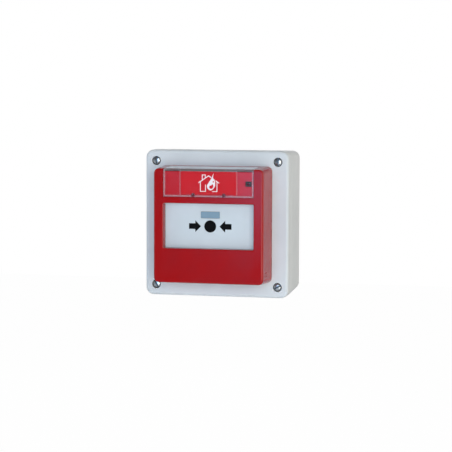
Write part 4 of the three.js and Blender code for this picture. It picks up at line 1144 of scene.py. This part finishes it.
for name, centre in zip(("pane_spring_left", "pane_spring_right"), posts):
    low, high = span(name)
    spring = solid(f"coil_{name}", coil(centre, low[1], high[1], 3.3, 0.3))
    settle(spring, "box", "steel", drawn_steel, name)
    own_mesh(spring)
low, high = span("latch_spring")
middle = ((low[1] + high[1]) / 2, (low[2] + high[2]) / 2)
spring = solid("coil_latch_spring", coil(middle, low[0], high[0] - 0.05, 1.4, 0.25, across=True))
settle(spring, "box", "steel", drawn_steel, "latch_spring")
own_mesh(spring)

# %% [markdown]
# ## Finishes for the parts inside
#
# The parts that keep their shape from the frame get a finish and softened edges. Their meshes are
# loose triangles, so a Weld modifier closes them, a Decimate modifier merges the flat faces, and a
# fine bevel rounds the edges, all live, so that the frame's own meshes stay as they are. The reset
# cam has no bevel, because its thin tooth would fold over itself.

# %% Inside parts
inside = [
    (foam, "lid_gasket mounting_gasket"),
    (board_finish, "circuit_board"),
    (green_plastic, "terminal_block_left terminal_block_right"),
    (clear_pipe_finish, "status_led light_pipe"),
    (window_finish, "pane_window"),
    (yellow_plastic, "indicator_flag"),
    (red_plastic, "switch_plunger"),
    (black_plastic, "mechanism_frame micro_switch reset_cam led_bezel cover_latch address_switch*3"),
    (cream_plastic, "address_dial*3"),
    (rubber, "cable_grommet_left cable_grommet_right screw_seal*4"),
    (brass, "threaded_insert*4"),
    (drawn_steel, "switch_lever hinge_pin_upper hinge_pin_lower base_screw*4 board_screw*2 frame_screw*4"),
]


def listed(text):
    """The node names in a text, where name*3 stands for name_1, name_2 and name_3."""
    for word in text.split():
        stem, _, count = word.partition("*")
        yield from [f"{stem}_{number + 1}" for number in range(int(count))] if count else [stem]


finished = [(name, finish) for finish, text in inside for name in listed(text)]
for name, finish in finished:
    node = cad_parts[name]
    node.data.materials.clear()
    node.data.materials.append(finish)
    node.modifiers.new("close", "WELD").merge_threshold = 1e-6
    flat = node.modifiers.new("merge flats", "DECIMATE")
    flat.decimate_type, flat.angle_limit = "DISSOLVE", math.radians(1)
    if name != "reset_cam":
        fine_edge(node, 0.1)
    node.modifiers.new("even light", "WEIGHTED_NORMAL").keep_sharp = True
print("finished from the frame:", len(finished))

# %% [markdown]
# ## Floor and surround
#
# The studio is plain: a pale floor far below and a surround, which is white where the camera or
# clear plastic looks at it. A reflection sees it white behind the object and dim in front, like a
# room whose lights are off behind the camera, so faces seen at a slant pick up white and the front
# keeps its red. The floor is nearly pure white to the camera too.

# %% Floor and surround
white = (1, 1, 1, 1)
floor = solid("floor", block(-3000, 3000, -900, -400, -3000, 3000))
floor_paint, shader, where = begin("pale floor")
wire(shader, Base_Color=between(noise(where, 3), (240, 240, 241), (236, 237, 238)), Roughness=0.8)
seen = times(put(where, "LightPath").outputs["Is Camera Ray"], 0.985)
glow = put(where, "Emission", {"Color": white, "Strength": 1.0}).outputs[0]
blend = put(where, "MixShader", {0: seen, 1: shader.outputs[0], 2: glow}).outputs[0]
feed(floor_paint.node_tree.nodes["Material Output"], {"Surface": blend})
floor.data.materials.append(floor_paint)
floor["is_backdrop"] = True

world = bpy.data.worlds.new("studio")
bpy.context.scene.world = world
world.use_nodes = True
background = world.node_tree.nodes["Background"]
rays = put(background, "LightPath").outputs
direction = put(background, "TexCoord").outputs["Generated"]
ahead = put(background, "SeparateXYZ", {0: direction}).outputs["Y"]
mirrored = times(rays["Is Glossy Ray"], spread(ahead, 0.08, 1.0, -0.35, 0.35))
level = most(mirrored, rays["Is Camera Ray"], rays["Is Transmission Ray"])
unseen = maths("SUBTRACT", 1.0, most(rays["Is Glossy Ray"], level))
feed(background, {"Strength": maths("ADD", level, times(unseen, 0.37)), "Color": white})
print("the floor is", round(floor.dimensions.x, 1), "m wide")

# %% [markdown]
# ## Lamps and camera
#
# One large soft lamp in front gives most of the light. A small bluish one beside it is a window:
# the edge of its reflection lies across the red face. Weak lamps on the right, on the left and
# behind model the sides. The camera is placed by the angles that it looks from, with a long lens.


# %% Lamps and camera
def lamp(name, place, size, watts, colour):
    """A square soft lamp at a place, turned so that its -Z axis points at the origin."""
    light = bpy.data.lights.new(name, "AREA")
    light.size, light.energy, light.color = size, watts, colour
    thing = bpy.data.objects.new(name, light)
    bpy.context.scene.collection.objects.link(thing)
    thing.location = place
    thing.rotation_euler = (-Vector(place)).to_track_quat("-Z", "Y").to_euler()


lamp("key", (0.62, -1.7, 0.1), 1.1, 17.4, (1.0, 1.0, 0.88))
lamp("window", (-0.05, -1.7, 0.17), 0.62, 6.2, (0.25, 0.56, 1.0))
lamp("side", (1.6, 0.1, 0.1), 1.0, 5.4, (1.0, 0.93, 0.76))
lamp("left", (-1.5, -0.7, -0.1), 1.0, 3.0, (0.9, 0.95, 1.0))
lamp("behind", (-0.6, 1.6, 0.4), 1.0, 3.0, (1.0, 1.0, 1.0))

camera = bpy.data.objects.new("camera", bpy.data.cameras.new("camera"))
bpy.context.scene.collection.objects.link(camera)
bpy.context.scene.camera = camera
azimuth, elevation, roll = np.radians([13.62, 4.72, 0.164])
level = math.cos(elevation)
back = np.array([math.sin(azimuth) * level, -math.cos(azimuth) * level, math.sin(elevation)])
right = np.cross(-back, [0, 0, 1])
right /= np.linalg.norm(right)
up = np.cross(right, -back)
side = math.cos(roll) * right + math.sin(roll) * up
upward = math.cos(roll) * up - math.sin(roll) * right
place = np.array([0, -0.053, 0]) + 1.426 * back
camera.matrix_world = Matrix([*np.column_stack([side, upward, back, place]).tolist(), [0, 0, 0, 1]])
camera.data.lens, camera.data.sensor_width = 145.93, 36
camera.data.shift_x, camera.data.shift_y = 0.02117, -0.00507
camera.data.clip_start, camera.data.clip_end = 0.05, 20
bpy.context.scene.view_settings.view_transform = "Standard"
print("lamps:", len(bpy.data.lights), "camera lens:", round(camera.data.lens, 1))

# %% [markdown]
# ## The size of the visible model
#
# The bounds of all the visible objects are found, without the floor. The visible model may only
# be a hair larger than the mechanical one.

# %% The size of the visible model
low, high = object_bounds()
